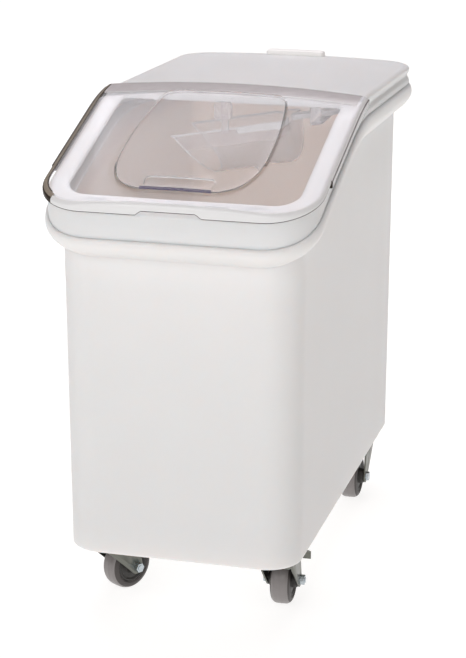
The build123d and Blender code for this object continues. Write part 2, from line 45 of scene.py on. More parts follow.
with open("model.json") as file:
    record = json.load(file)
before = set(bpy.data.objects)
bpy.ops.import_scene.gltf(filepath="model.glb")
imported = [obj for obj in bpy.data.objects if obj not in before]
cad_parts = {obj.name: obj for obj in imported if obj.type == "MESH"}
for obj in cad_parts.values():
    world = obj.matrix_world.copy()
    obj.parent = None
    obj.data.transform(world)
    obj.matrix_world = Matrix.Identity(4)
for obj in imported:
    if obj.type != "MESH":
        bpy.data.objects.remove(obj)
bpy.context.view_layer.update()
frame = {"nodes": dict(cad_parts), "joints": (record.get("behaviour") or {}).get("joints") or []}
bin_low, bin_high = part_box("bin_body")
cover_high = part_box("top_cover")[1]
lid_low, lid_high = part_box("sliding_lid")
stop_low, stop_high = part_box("rear_stop")
casters = ("front_left", "front_right", "rear_left", "rear_right")


def linear(hex_colour):
    """An sRGB hex colour as linear red, green and blue."""
    channels = [int(hex_colour[k:k + 2], 16) / 255 for k in (1, 3, 5)]
    return tuple(c / 12.92 if c <= 0.04045 else ((c + 0.055) / 1.055) ** 2.4 for c in channels)


# Sizes and colours that a user would change

def metres(name, description, default):
    """A size or a place in metres."""
    return FloatProperty(name=name, description=description, default=default, unit="LENGTH")


def degrees(name, description, default):
    """An angle, given in degrees."""
    return FloatProperty(name=name, description=description, default=radians(default), unit="ROTATION")


def watts(name, description, default):
    """The power of a light."""
    return FloatProperty(name=name, description=description, default=default, unit="POWER")


def tint(name, description, default):
    """A colour, given as an sRGB hex value."""
    return FloatVectorProperty(name=name, description=description, default=linear(default), subtype="COLOR")


class BinShellSizes(PropertyGroup):
    """Sizes of the white bin and of the side curve that its top follows."""
    wall: metres("Wall", "Wall thickness", 0.004)
    floor: metres("Floor", "Floor thickness", 0.010)
    corner: metres("Corner", "Corner radius of the walls", 0.052)
    draft: degrees("Draft", "Slant of the walls", 0.3)
    foot_round: metres("Foot", "Round under the walls", 0.003)
    floor_round: metres("Floor round", "Round inside the floor", 0.014)
    rear_corner: metres("Rear corner", "Corner radius of the walls at the back", 0.040)
    flange_rear: metres("Flange rear corner", "Corner radius of the flange at the back", 0.050)
    flange_corner: metres("Flange corner", "Corner radius of the flange", 0.078)
    reach_x: metres("Reach aside", "Flange beyond the side walls", 0.028)
    reach_y: metres("Reach ahead", "Flange beyond the end walls", 0.0295)
    knee_y: metres("Knee place", "Where slope and fall meet", -0.046)
    knee_z: metres("Knee height", "Height where slope and fall meet", 0.682)
    knee_radius: metres("Knee radius", "Round of the knee", 0.350)
    front_dip: metres("Front dip", "Drop of the mouth at the front", 0.0045)
    dip_full: metres("Dip full", "Where the front dip is full", -0.36)
    dip_end: metres("Dip end", "Where the front dip has faded out", -0.20)
    flange_depth: metres("Flange depth", "How far under the mouth the flange starts", 0.040)
    lip_drop: metres("Lip drop", "How far under the mouth the inner wall starts", 0.002)
    run_up_start: metres("Run-up start", "Where the flange starts to run up beside the cover", -0.372)
    run_up_end: metres("Run-up end", "Where the flange has run up beside the cover", -0.285)
    slope: degrees("Slope", "Slope of the front", 18.2)
    fall: degrees("Fall", "Fall of the back", 1.7)


class CoverSizes(PropertyGroup):
    """Sizes of the white cover. Rises are heights over the side curve."""
    wall: metres("Wall", "Wall thickness", 0.003)
    corner: metres("Corner", "Corner radius", 0.0735)
    frame_rise: metres("Frame", "Rise of the frame", 0.035)
    deck_rise: metres("Deck", "Rise of the deck's edge", 0.039)
    deck_crown: metres("Crown", "Arch of the deck", 0.005)
    deck_front: metres("Deck front", "Front line of the deck", -0.047)
    edge_drop: metres("Edge", "Drop of the round along the top edge", 0.005)
    edge_roll: metres("Edge roll", "Width of the round along the top edge", 0.008)
    step_start: metres("Step start", "How far ahead of the deck its step starts", 0.008)
    step_end: metres("Step end", "How far ahead of the deck its step ends", 0.001)
    rear_corner: metres("Rear corner", "Corner radius at the back", 0.046)
    border: metres("Border", "Width of the deck's sloped border", 0.018)
    border_drop: metres("Border drop", "Drop of the deck's border", 0.0018)
    lip_round: metres("Lip round", "Round into the opening", 0.006)
    lip_width: metres("Lip width", "Width of the roll round the opening", 0.014)
    opening_half: metres("Opening", "Half width of the opening", 0.1661)
    opening_front: metres("Opening front", "Front line of the opening", -0.325)
    opening_corner: metres("Opening corner", "Front corner radius of the opening", 0.034)
    opening_rear_corner: metres("Opening rear corner", "Rear corner radius", 0.010)
    lip_rise: metres("Lip", "Rise of the lip's lower edge", 0.0285)
    rear_lip: FloatProperty(name="Rear lip", description="Share of the roll's width at the deck",
                            default=0.4, subtype="FACTOR")
    mesh_size: metres("Mesh", "Size of the triangles of the top", 0.006)
    groove_front: metres("Groove front", "Where the side grooves fade out", -0.110)
    groove_fade: metres("Groove fade", "Half the length in which the grooves fade out", 0.05)


class LidSizes(PropertyGroup):
    """Sizes of the clear sliding lid. Rises are heights over the side curve."""
    # The rear band's smoky grey paints the shade at the deck's front edge
    rear_shade_band: metres("Rear band", "Where the smoky rear edge begins", -0.068)
    wall: metres("Wall", "Wall thickness", 0.003)
    half: metres("Half width", "Half width of the shell", 0.2015)
    corner: metres("Corner", "Front corner radius", 0.074)
    rise: metres("Rise", "Rise of the roof's edge", 0.043)
    crown: metres("Crown", "Arch of the roof", 0.010)
    bottom: metres("Bottom", "Rise of the skirt's lower edge", 0.0353)
    edge_round: metres("Edge", "Width of the round along the roof's edge", 0.009)
    edge_drop: metres("Edge drop", "Height of the round along the roof's edge", 0.0055)
    # The dark faces on the left from here out paint the edge's shade
    painted_shade_from: metres("Dark edge", "How far to the left the dark edge starts", 0.172)
    # The cut lower edge is dark, a painted shadow line under the lid
    painted_shadow_line: metres("Edge line", "Height of the cut lower edge", 0.0009)
    rail_front: metres("Rail front", "Where the side rails start", -0.268)
    rail_drop: metres("Rail drop", "Rails below the skirt", 0.006)
    rail_height: metres("Rail height", "Rails above the skirt's edge", 0.004)
    rail_thick: metres("Rail", "Thickness of a rail", 0.0075)
    panel_rise: metres("Panel", "Height of the raised panel", 0.004)
    panel_draft: metres("Panel edge", "Width of the panel's slanted edge", 0.0022)
    pocket_depth: metres("Pocket", "Depth of the pocket behind the grip", 0.0012)
    pocket_draft: metres("Pocket edge", "Width of the pocket's slanted edge", 0.0008)
    grip_half: metres("Grip", "Half length of the grip bar", 0.051)
    notch_half: metres("Notch", "Half width of the finger notch", 0.048)
    notch_slant: metres("Notch side", "Slant of the notch's sides", 0.010)
    notch_height: metres("Notch height", "Height of the finger notch", 0.006)
    notch_depth: metres("Notch depth", "How far back the notch reaches into the skirt", 0.01)
    mesh_size: metres("Mesh", "Size of the triangles of the roof", 0.007)


class ScoopSizes(PropertyGroup):
    """Sizes of the clear scoop and where it hangs."""
    place: FloatVectorProperty(name="Place", description="Middle of the mouth's upper edge",
                               subtype="TRANSLATION", default=(-0.098, 0.016, 0.648), unit="LENGTH")
    tilt: degrees("Tilt", "Slant of the hung scoop", 10.6)
    length: metres("Length", "Length of the bowl", 0.180)
    half: metres("Half width", "Half width of the bowl", 0.050)
    straight: metres("Sides", "Straight part of the sides", 0.020)
    rim: metres("Rim", "Width of the turned-out rim", 0.004)
    wall: metres("Wall", "Wall thickness", 0.002)
    end_round: metres("End round", "Round at the closed end of the bowl", 0.014)
    band_from: metres("Band", "Where the milky band of the near side starts", 0.0)
    mouth: degrees("Mouth", "Slant of the mouth", 35)
    handle: metres("Handle", "Length of the handle", 0.072)
    handle_half: metres("Handle half", "Half width of the handle", 0.014)
    handle_thick: metres("Handle thickness", "Thickness of the handle", 0.008)
    hook_round: metres("Hook round", "Round along the edges of the scoop's hooks", 0.0018)


class WheelSizes(PropertyGroup):
    """Sizes of the four wheels and of the bolts that hold the casters."""
    radius: metres("Radius", "Radius over the tread", 0.0375)
    half: metres("Half width", "Half width of the tread", 0.015)
    shoulder: metres("Shoulder", "Round at the tread's shoulders", 0.009)
    core: metres("Core", "Radius of the core", 0.026)
    core_half: metres("Core half", "Half width of the core's rim", 0.014)
    core_rim: metres("Core rim", "Thickness of the core's rim", 0.004)
    web_half: metres("Web half", "Half width of the core's web", 0.013)
    hub: metres("Hub", "Radius of the hub", 0.012)
    hub_half: metres("Hub half", "Half width of the hub", 0.0212)
    bore: metres("Bore", "Radius of the hub's bore", 0.00605)
    balls: IntProperty(name="Balls", description="Balls in a swivel", default=18)
    ball: metres("Ball", "Radius of a ball", 0.0025)
    ball_circle: metres("Ball circle", "Radius of the ring of balls", 0.018)
    bolt_row_x: metres("Bolts across", "Bolt spacing across a plate", 0.0445)
    bolt_row_y: metres("Bolts along", "Bolt spacing along a plate", 0.073)
    plate: metres("Plate", "Thickness of a caster plate", 0.003)
    hex_across: metres("Hex", "Bolt head across its flats", 0.013)
    hex_height: metres("Head", "Height of a bolt's head", 0.0053)
    shank: metres("Shank", "Radius of a bolt's shank", 0.004)
    shank_length: metres("Shank length", "Length of a bolt's shank", 0.010)
    fork_round: metres("Fork round", "Round along a fork's edges", 0.0007)
    pedal_round: metres("Pedal round", "Round along a brake pedal's edges", 0.0006)


class Finishes(PropertyGroup):
    """Colours of the materials."""
    white: tint("White", "Moulded polyethylene", "#e6e5e4")
    # The warmer colour of the inner walls paints the warm shade inside the bin
    inside: tint("Inside", "Inner walls of the bin", "#f1e6df")
    stop: tint("Stop", "Cream plastic of the stop", "#fbfaf8")
    clear: tint("Clear", "Clear polycarbonate", "#f3f4f6")
    frosted: tint("Frosted", "Frosted polycarbonate of the skirt", "#dfdfdf")
    # Dark sheet that paints shade on the lid's left edge, its cut lower edge and its rails
    edge: tint("Edge", "Dark edges of the polycarbonate", "#3a322c")
    # Olive grey that paints the shade along the lid's left round
    olive: tint("Olive", "Tinted round of the lid's edge", "#9a9083")
    # Smoky grey of the rails, which also paints shade on the lid's rear band and pocket walls
    rail: tint("Rail", "Smoky faces of the side rails and the rear band", "#c9c4c5")
    # Dark violet that paints the shade of the grip's steep face
    grip: tint("Grip", "Violet edge of the grip", "#43335c")
    scoop: tint("Scoop", "Hazy plastic of the scoop", "#e9e4e4")
    tread: tint("Tread", "Thermoplastic rubber", "#8d8887")
    # A darker copy of the tread's rubber, which paints the shade on the wheels' sides
    tread_side_shade: tint("Tread side", "Side of a wheel's tread", "#4b4644")
    core: tint("Core", "Nylon wheel centres", "#33312e")
    # The zinc's colour is darkened to paint the shade under the bin
    zinc: tint("Zinc", "Zinc-plated steel, darkened for painted shade", "#7d7e77")
    bolt: tint("Bolt", "Bright zinc-plated bolts", "#c3cbd0")
    bearing: tint("Bearing", "Bearing steel", "#c9c8c6")
    brass: tint("Brass", "Brass inserts", "#c2a15c")
    floor: tint("Floor", "Studio floor", "#8a8a8a")


class StageSetup(PropertyGroup):
    """Camera and lights."""
    camera_place: FloatVectorProperty(name="Camera", description="Camera position", subtype="TRANSLATION",
                                      default=(0.8081, -2.9891, 1.2840), unit="LENGTH")
    azimuth: degrees("Azimuth", "Camera turned to the left of +Y", 15.33)
    pitch: degrees("Pitch", "Camera tipped down", 16.91)
    lens: FloatProperty(name="Lens", description="Focal length in millimetres", default=114.15,
                        unit="CAMERA")
    sky: FloatProperty(name="Sky", description="Strength of the even light", default=0.22)
    key: watts("Key", "Power of the front light", 64.0)
    top: watts("Top", "Power of the overhead light", 62.0)
    fill: watts("Fill", "Power of the weak light on the right", 10.0)
    back: watts("Back", "Power of the light behind", 36.0)
    glow_near: FloatProperty(name="Near glow", description="Glow of the floor under the bin", default=0.84)
    glow_far: FloatProperty(name="Far glow", description="Glow of the floor far away", default=0.99)
    near: metres("Near", "How far from the bin the floor's glow starts to grow", 0.7)
    far: metres("Far", "How far from the bin the floor's glow is full", 3.5)
    floor_half: metres("Floor", "Half width of the floor", 20.0)
    opening: watts("Opening", "Power of the light over the opening", 0.05)
    opening_spread: degrees("Opening spread", "Spread of the light over the opening", 20)


# Outlines and heights

def side_height(y):
    """Height of the side curve: a slope at the front, a round knee and a gentle fall to the back."""
    curve = bpy.context.scene.bin_shell
    reach = curve.knee_radius * tan((curve.slope + curve.fall) / 2)
    bend_start = curve.knee_y - reach * cos(curve.slope)
    bend_end = curve.knee_y + reach * cos(curve.fall)
    if y > bend_end:
        return curve.knee_z - (y - curve.knee_y) * tan(curve.fall)
    if y < bend_start:
        return curve.knee_z - (curve.knee_y - y) * tan(curve.slope)
    centre_y = bend_start + curve.knee_radius * sin(curve.slope)
    centre_z = curve.knee_z - reach * sin(curve.slope) - curve.knee_radius * cos(curve.slope)
    return centre_z + sqrt(curve.knee_radius ** 2 - (y - centre_y) ** 2)


def mouth_height(y):
    """Height of the bin's mouth, which dips under the front skirt of the cover."""
    curve = bpy.context.scene.bin_shell
    return side_height(y) - curve.front_dip * (1 - ease(curve.dip_full, curve.dip_end, y))


def blend(a, b, share):
    """A value between a and b."""
    return a + (b - a) * share


def ease(low, high, value):
    """A smooth step from 0 at low to 1 at high."""
    share = min(1.0, max(0.0, (value - low) / (high - low)))
    return share * share * (3 - 2 * share)


def arch(x, half, crown):
    """Height of a shallow arch over its edges."""
    return crown * (1 - (x / half) ** 2)


def quarter(steps):
    """Steps of a quarter round of radius 1, as pairs: from 1 down to 0, and from 0 up to 1."""
    return [(1 - sin(k * pi / 2 / steps), 1 - cos(k * pi / 2 / steps)) for k in range(steps + 1)]


def rounded_outline(corners, radii, side_steps, corner_steps=10):
    """Points round a polygon drawn anticlockwise, with round corners and evenly divided sides."""
    arcs = []
    for index, corner in enumerate(corners):
        here = Vector(corner)
        coming = (here - Vector(corners[index - 1])).normalized()
        going = (Vector(corners[(index + 1) % len(corners)]) - here).normalized()
        heading = atan2(coming.y, coming.x)
        turn = (atan2(going.y, going.x) - heading) % (2 * pi)
        radius = radii[index]
        centre = here - coming * radius * tan(turn / 2) + Vector((-coming.y, coming.x)) * radius
        angles = [heading - pi / 2 + turn * k / corner_steps for k in range(corner_steps + 1)]
        arcs.append([centre + radius * Vector((cos(a), sin(a))) for a in angles])
    outline = []
    for index, arc in enumerate(arcs):
        outline += arc
        next_start = arcs[(index + 1) % len(arcs)][0]
        steps = side_steps[index]
        outline += [arc[-1].lerp(next_start, k / steps) for k in range(1, steps)]
    return outline


def box_outline(half_x, front, rear, front_corner, rear_corner):
    """A rounded rectangle seen from above, starting at its front right corner."""
    side_steps, end_steps = 64, 24
    corners = [(half_x, front), (half_x, rear), (-half_x, rear), (-half_x, front)]
    return rounded_outline(corners, [front_corner, rear_corner, rear_corner, front_corner],
                           [side_steps, end_steps, side_steps, end_steps])


def smooth_loop(places, steps=6):
    """A closed smooth curve through places."""
    loop = []
    for k in range(len(places)):
        a, b, c, d = (Vector(places[(k + j) % len(places)]) for j in (-1, 0, 1, 2))
        for step in range(steps):
            t = step / steps
            bend = (c - a) * t + (2 * a - 5 * b + 4 * c - d) * t ** 2 + (3 * b - a - 3 * c + d) * t ** 3
            loop.append(b + bend / 2)
    return loop


def in_outline(point, outline):
    """Whether a point lies inside a closed outline."""
    inside = False
    for a, b in zip(outline, outline[1:] + outline[:1]):
        if (a.y > point.y) != (b.y > point.y):
            if point.x < a.x + (point.y - a.y) * (b.x - a.x) / (b.y - a.y):
                inside = not inside
    return inside


# Mesh helpers

def add_loop(bm, points):
    """Vertices of one loop."""
    return [bm.verts.new(point) for point in points]


def bridge(bm, loops, closed=True, material=0):
    """Quads between loops that have the same number of points."""
    made = []
    for lower, upper in zip(loops, loops[1:]):
        count = len(lower)
        for k in range(count if closed else count - 1):
            after = (k + 1) % count
            face = bm.faces.new((lower[k], lower[after], upper[after], upper[k]))
            face.material_index = material
            made.append(face)
    return made


def add_bar(bm, loops, material=0):
    """A closed bar through loops, with an end face on each end."""
    rings = [add_loop(bm, loop) for loop in loops]
    made = bridge(bm, rings, material=material)
    for end in (list(reversed(rings[0])), rings[-1]):
        face = bm.faces.new(end)
        face.material_index = material
        made.append(face)
    bmesh.ops.recalc_face_normals(bm, faces=made)
    return made


def cover_plan(bm, outlines, spacing, keeps, height):
    """A sheet over a plan: the outlines stay as edges, grid points fill the rest, height lifts them."""
    points = []
    edges = []
    for outline in outlines:
        start = len(points)
        points += [Vector(point) for point in outline]
        edges += [(start + k, start + (k + 1) % len(outline)) for k in range(len(outline))]
    near = KDTree(len(points))
    for index, point in enumerate(points):
        near.insert(point.to_3d(), index)
    near.balance()
    low_x, high_x = min(p.x for p in points), max(p.x for p in points)
    low_y, high_y = min(p.y for p in points), max(p.y for p in points)
    columns = int((high_x - low_x) / spacing)
    rows = int((high_y - low_y) / spacing)
    margin = spacing * 0.6
    for column in range(1, columns):
        for row in range(1, rows):
            point = Vector((blend(low_x, high_x, column / columns), blend(low_y, high_y, row / rows)))
            if near.find(point.to_3d())[2] > margin and keeps(point):
                points.append(point)
    flat, _, triangles, *_ = delaunay_2d_cdt(points, edges, [], 0, 1e-7)
    verts = [bm.verts.new((point.x, point.y, height(point))) for point in flat]
    for triangle in triangles:
        middle = sum((flat[k] for k in triangle), Vector((0, 0))) / 3
        if keeps(middle):
            bm.faces.new([verts[k] for k in triangle])
    bmesh.ops.delete(bm, geom=[v for v in verts if not v.link_faces], context="VERTS")


def close_shell(bm):
    """Merges the seams of an open shell and turns its faces so that its top looks up."""
    bmesh.ops.remove_doubles(bm, verts=bm.verts, dist=1e-5)
    bmesh.ops.recalc_face_normals(bm, faces=bm.faces)
    if max(bm.faces, key=lambda face: face.calc_center_median().z).normal.z < 0:
        bmesh.ops.reverse_faces(bm, faces=bm.faces)


def linked(name, data):
    """An object of some data, linked to the scene."""
    made = bpy.data.objects.new(name, data)
    bpy.context.scene.collection.objects.link(made)
    return made


def baked(blank):
    """The plain mesh that an object's modifiers give. The object itself goes."""
    name, old = blank.name, blank.data
    mesh = bpy.data.meshes.new_from_object(blank.evaluated_get(bpy.context.evaluated_depsgraph_get()))
    bpy.data.objects.remove(blank)
    bpy.data.meshes.remove(old)
    mesh.name = name
    return mesh


def reopened(mesh):
    """A bmesh of a mesh, which itself goes."""
    bm = bmesh.new()
    bm.from_mesh(mesh)
    bpy.data.meshes.remove(mesh)
    return bm


def to_mesh(name, bm, wall=0.0, bevel=0.0, slots=1, inner_material=0):
    """A plain mesh from a bmesh, with a wall's thickness and small rounds where asked."""
    mesh = bpy.data.meshes.new(name)
    bm.to_mesh(mesh)
    bm.free()
    for _ in range(slots):
        mesh.materials.append(None)
    if not wall and not bevel:
        return mesh
    blank = linked(name, mesh)
    if wall:
        thick = blank.modifiers.new("Wall", "SOLIDIFY")
        thick.thickness = wall
        thick.offset = -1
        thick.material_offset = inner_material
    if bevel:
        rounds = blank.modifiers.new("Rounds", "BEVEL")
        rounds.width = bevel
        rounds.segments = 2
        rounds.limit_method = "ANGLE"
        rounds.angle_limit = radians(40)
        rounds.harden_normals = True
    return baked(blank)


def add_piece(name, mesh, body, nodes, materials, sharp=35):
    """Makes a finished piece of a mesh, lets it ride on a body and stand for CAD nodes."""
    for index, material in enumerate(materials):
        if index < len(mesh.materials):
            mesh.materials[index] = material
        else:
            mesh.materials.append(material)
    mesh.shade_smooth()
    mesh.set_sharp_from_angle(angle=radians(sharp))
    piece = linked(name, mesh)
    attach(piece, body)
    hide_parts(*nodes)


def turned(bm, profile, centre, axis, steps=96):
    """A closed ring turned round an axle from places along it and radii."""
    across = axis.orthogonal().normalized()
    up = axis.cross(across)
    rings = []
    for step in range(steps):
        turn = 2 * pi * step / steps
        out = across * cos(turn) + up * sin(turn)
        rings.append(add_loop(bm, [centre + axis * along + out * radius for along, radius in profile]))
    bridge(bm, rings + rings[:1])
    bmesh.ops.recalc_face_normals(bm, faces=bm.faces)


# Materials

def add_node(tree, kind, inputs=None, **settings):
    """Adds a node, sets its fields, and fills or links its inputs by name or number."""
    node = tree.nodes.new(kind)
    for field, value in settings.items():
        setattr(node, field, value)
    for key, value in (inputs or {}).items():
        if isinstance(value, bpy.types.NodeSocket):
            tree.links.new(value, node.inputs[key])
        else:
            node.inputs[key].default_value = value
    return node


def surface(name, tinted, change, mottle_mm, gloss, grain_mm, bump_mm, passes=None, **shader):
    """A finish with a mottled colour, uneven gloss and a fine grain, each at a real size. A clear
    one passes that share of the light that falls on what is behind it."""
    material = bpy.data.materials.get(name)
    if material:
        return material
    colour = getattr(bpy.context.scene.bin_finishes, tinted)
    material = bpy.data.materials.new(name)
    material.use_nodes = True
    tree = material.node_tree
    tree.nodes.clear()
    place = add_node(tree, "ShaderNodeTexCoord").outputs["Object"]
    mottle = add_node(tree, "ShaderNodeTexNoise",
                      {"Vector": place, "Scale": 1000 / mottle_mm, "Detail": 3.0})
    grain = add_node(tree, "ShaderNodeTexNoise",
                     {"Vector": place, "Scale": 1000 / grain_mm, "Detail": 2.0})
    darker = (*[channel * (1 - change) for channel in colour], 1)
    shade = add_node(tree, "ShaderNodeMix", {0: mottle.outputs[0], 6: darker, 7: (*colour, 1)},
                     data_type="RGBA")
    rough = add_node(tree, "ShaderNodeMapRange",
                     {"Value": mottle.outputs[0], "From Min": 0.3, "From Max": 0.7,
                      "To Min": gloss[0], "To Max": gloss[1]})
    bump = add_node(tree, "ShaderNodeBump",
                    {"Height": grain.outputs[0], "Strength": 0.5, "Distance": bump_mm / 1000})
    inputs = {"Base Color": shade.outputs[2], "Roughness": rough.outputs[0], "Normal": bump.outputs[0]}
    inputs.update({key.replace("_", " "): value for key, value in shader.items()})
    shown = add_node(tree, "ShaderNodeBsdfPrincipled", inputs)
    if passes:
        rays = add_node(tree, "ShaderNodeLightPath").outputs
        light = add_node(tree, "ShaderNodeMath", {0: rays["Is Shadow Ray"], 1: rays["Is Diffuse Ray"]},
                         operation="MAXIMUM")
        through = add_node(tree, "ShaderNodeBsdfTransparent", {"Color": (*passes, 1)})
        shown = add_node(tree, "ShaderNodeMixShader",
                         {0: light.outputs[0], 1: shown.outputs[0], 2: through.outputs[0]})
    add_node(tree, "ShaderNodeOutputMaterial", {"Surface": shown.outputs[0]})
    return material


# What the outer and the inner walls have in common: a fine orange-peel grain and light that soaks in
polyethylene = {"grain_mm": 1.6, "bump_mm": 0.02, "IOR": 1.51, "Specular_IOR_Level": 0.25,
                "Subsurface_Weight": 1.0, "Subsurface_Radius": (1.0, 0.86, 0.80), "Subsurface_Scale": 0.010}


def white_polyethylene():
    """Rotation-moulded polyethylene: satin, with a faint orange-peel grain and soft highlights."""
    return surface("Moulded white polyethylene", "white", change=0.02, mottle_mm=90, gloss=(0.34, 0.42),
                   **polyethylene)


def inner_polyethylene_warm_shade():
    """The inner walls of the bin: the same polyethylene in a warmer colour, which paints the warm shade
    inside the bin.
    """
    return surface("Moulded white polyethylene, inside, painted warm shade", "inside", change=0.03, mottle_mm=60,
                   gloss=(0.36, 0.46), **polyethylene)


def cream_plastic():
    """Injection-moulded polypropylene, a little warmer and glossier than the cover."""
    return surface("Moulded cream polypropylene", "stop", change=0.02, mottle_mm=30, gloss=(0.30, 0.38),
                   grain_mm=0.9, bump_mm=0.01, IOR=1.49)


def clear_polycarbonate():
    """Clear moulded polycarbonate: polished, with a faint haze and a slight ripple."""
    return surface("Clear polycarbonate", "clear", change=0.01, mottle_mm=60, gloss=(0.02, 0.05),
                   grain_mm=9.0, bump_mm=0.01, passes=(0.99, 0.98, 0.98), IOR=1.22, Transmission_Weight=0.94)


def frosted_polycarbonate():
    """The upright skirt of the lid, which scatters light and looks milky."""
    return surface("Frosted polycarbonate", "frosted", change=0.02, mottle_mm=40, gloss=(0.10, 0.16),
                   grain_mm=3.0, bump_mm=0.004, passes=(0.9, 0.89, 0.89), IOR=1.5, Transmission_Weight=0.04)


def polycarbonate_edge_painted_shade():
    """A dark sheet that paints the shade of the clear lid's edges: along the left edge, the cut lower edge
    and the rails.
    """
    return surface("Polycarbonate edge, painted shade", "edge", change=0.35, mottle_mm=7, gloss=(0.08, 0.16), grain_mm=4.0,
                   bump_mm=0.01, passes=(0.6, 0.56, 0.56), IOR=1.14, Transmission_Weight=0.06)


def olive_painted_shade():
    """The round of the lid's left edge: an olive grey that paints the shade seen along that edge."""
    return surface("Olive polycarbonate edge, painted shade", "olive", change=0.3, mottle_mm=6, gloss=(0.08, 0.16),
                   grain_mm=4.0, bump_mm=0.01, passes=(0.7, 0.66, 0.62), IOR=1.2, Transmission_Weight=0.2)


def smoky_polycarbonate_and_shade():
    """The side rails of the lid in a smoky grey; the same grey on the rear band and the pocket's walls
    paints the shade at the deck's front edge and along the pocket.
    """
    return surface("Smoky polycarbonate and painted shade", "rail", change=0.15, mottle_mm=12, gloss=(0.10, 0.20),
                   grain_mm=4.0, bump_mm=0.01, passes=(0.7, 0.68, 0.69), IOR=1.5, Transmission_Weight=0.3)


def violet_painted_shade():
    """The grip bar's edge: a violet tint darkened to paint the shade of the grip's steep face."""
    return surface("Violet polycarbonate edge, painted shade", "grip", change=0.3, mottle_mm=9, gloss=(0.08, 0.14),
                   grain_mm=3.0, bump_mm=0.01, passes=(0.6, 0.54, 0.66), IOR=1.5, Transmission_Weight=0.2)


def hazy_plastic():
    """Injection-moulded clear plastic of the scoop and hooks: hazy, with flow lines."""
    return surface("Hazy clear plastic", "scoop", change=0.06, mottle_mm=18, gloss=(0.05, 0.12),
                   grain_mm=5.0, bump_mm=0.02, passes=(0.95, 0.94, 0.94), IOR=1.49, Transmission_Weight=0.8)


def rubber_tread():
    """Injection-moulded thermoplastic rubber: warm grey and fairly glossy, with a soft grain."""
    return surface("Grey thermoplastic rubber", "tread", change=0.16, mottle_mm=14, gloss=(0.30, 0.42),
                   grain_mm=0.8, bump_mm=0.02, IOR=1.5)


def rubber_wall_painted_shade():
    """The side of a tread: a darker, duller copy of the rubber, whose darkness paints the shade on the
    wheel's side.
    """
    return surface("Grey thermoplastic rubber, side in painted shade", "tread_side_shade", change=0.2, mottle_mm=14,
                   gloss=(0.42, 0.55), grain_mm=0.8, bump_mm=0.02, IOR=1.5)


def nylon_core():
    """Moulded dark nylon, dull, with a fine grain."""
    return surface("Dark grey nylon", "core", change=0.2, mottle_mm=10, gloss=(0.42, 0.55), grain_mm=0.7,
                   bump_mm=0.02, IOR=1.53)


def shaded_zinc_plate():
    """Zinc-plated pressed steel: grey metal with a cloudy, slightly green passivation, its colour darkened
    to paint the deep shade under the bin.
    """
    return surface("Zinc-plated steel, darkened for painted shade", "zinc", change=0.22, mottle_mm=16, gloss=(0.28, 0.42), grain_mm=0.6,
                   bump_mm=0.01, Metallic=1.0)


def bright_zinc():
    """Bright blue-white zinc plating of bolts and nuts."""
    return surface("Bright zinc-plated steel", "bolt", change=0.12, mottle_mm=5, gloss=(0.20, 0.30),
                   grain_mm=0.5, bump_mm=0.005, Metallic=1.0)


def bearing_steel():
    """Ground and hardened bearing steel, bright and smooth."""
    return surface("Bearing steel", "bearing", change=0.06, mottle_mm=4, gloss=(0.12, 0.2), grain_mm=0.4,
                   bump_mm=0.002, Metallic=1.0)


def turned_brass():
    """Turned brass of the moulded-in inserts."""
    return surface("Turned brass", "brass", change=0.12, mottle_mm=5, gloss=(0.22, 0.34), grain_mm=0.5,
                   bump_mm=0.005, Metallic=1.0)


# Operators, one for each piece or group of like pieces

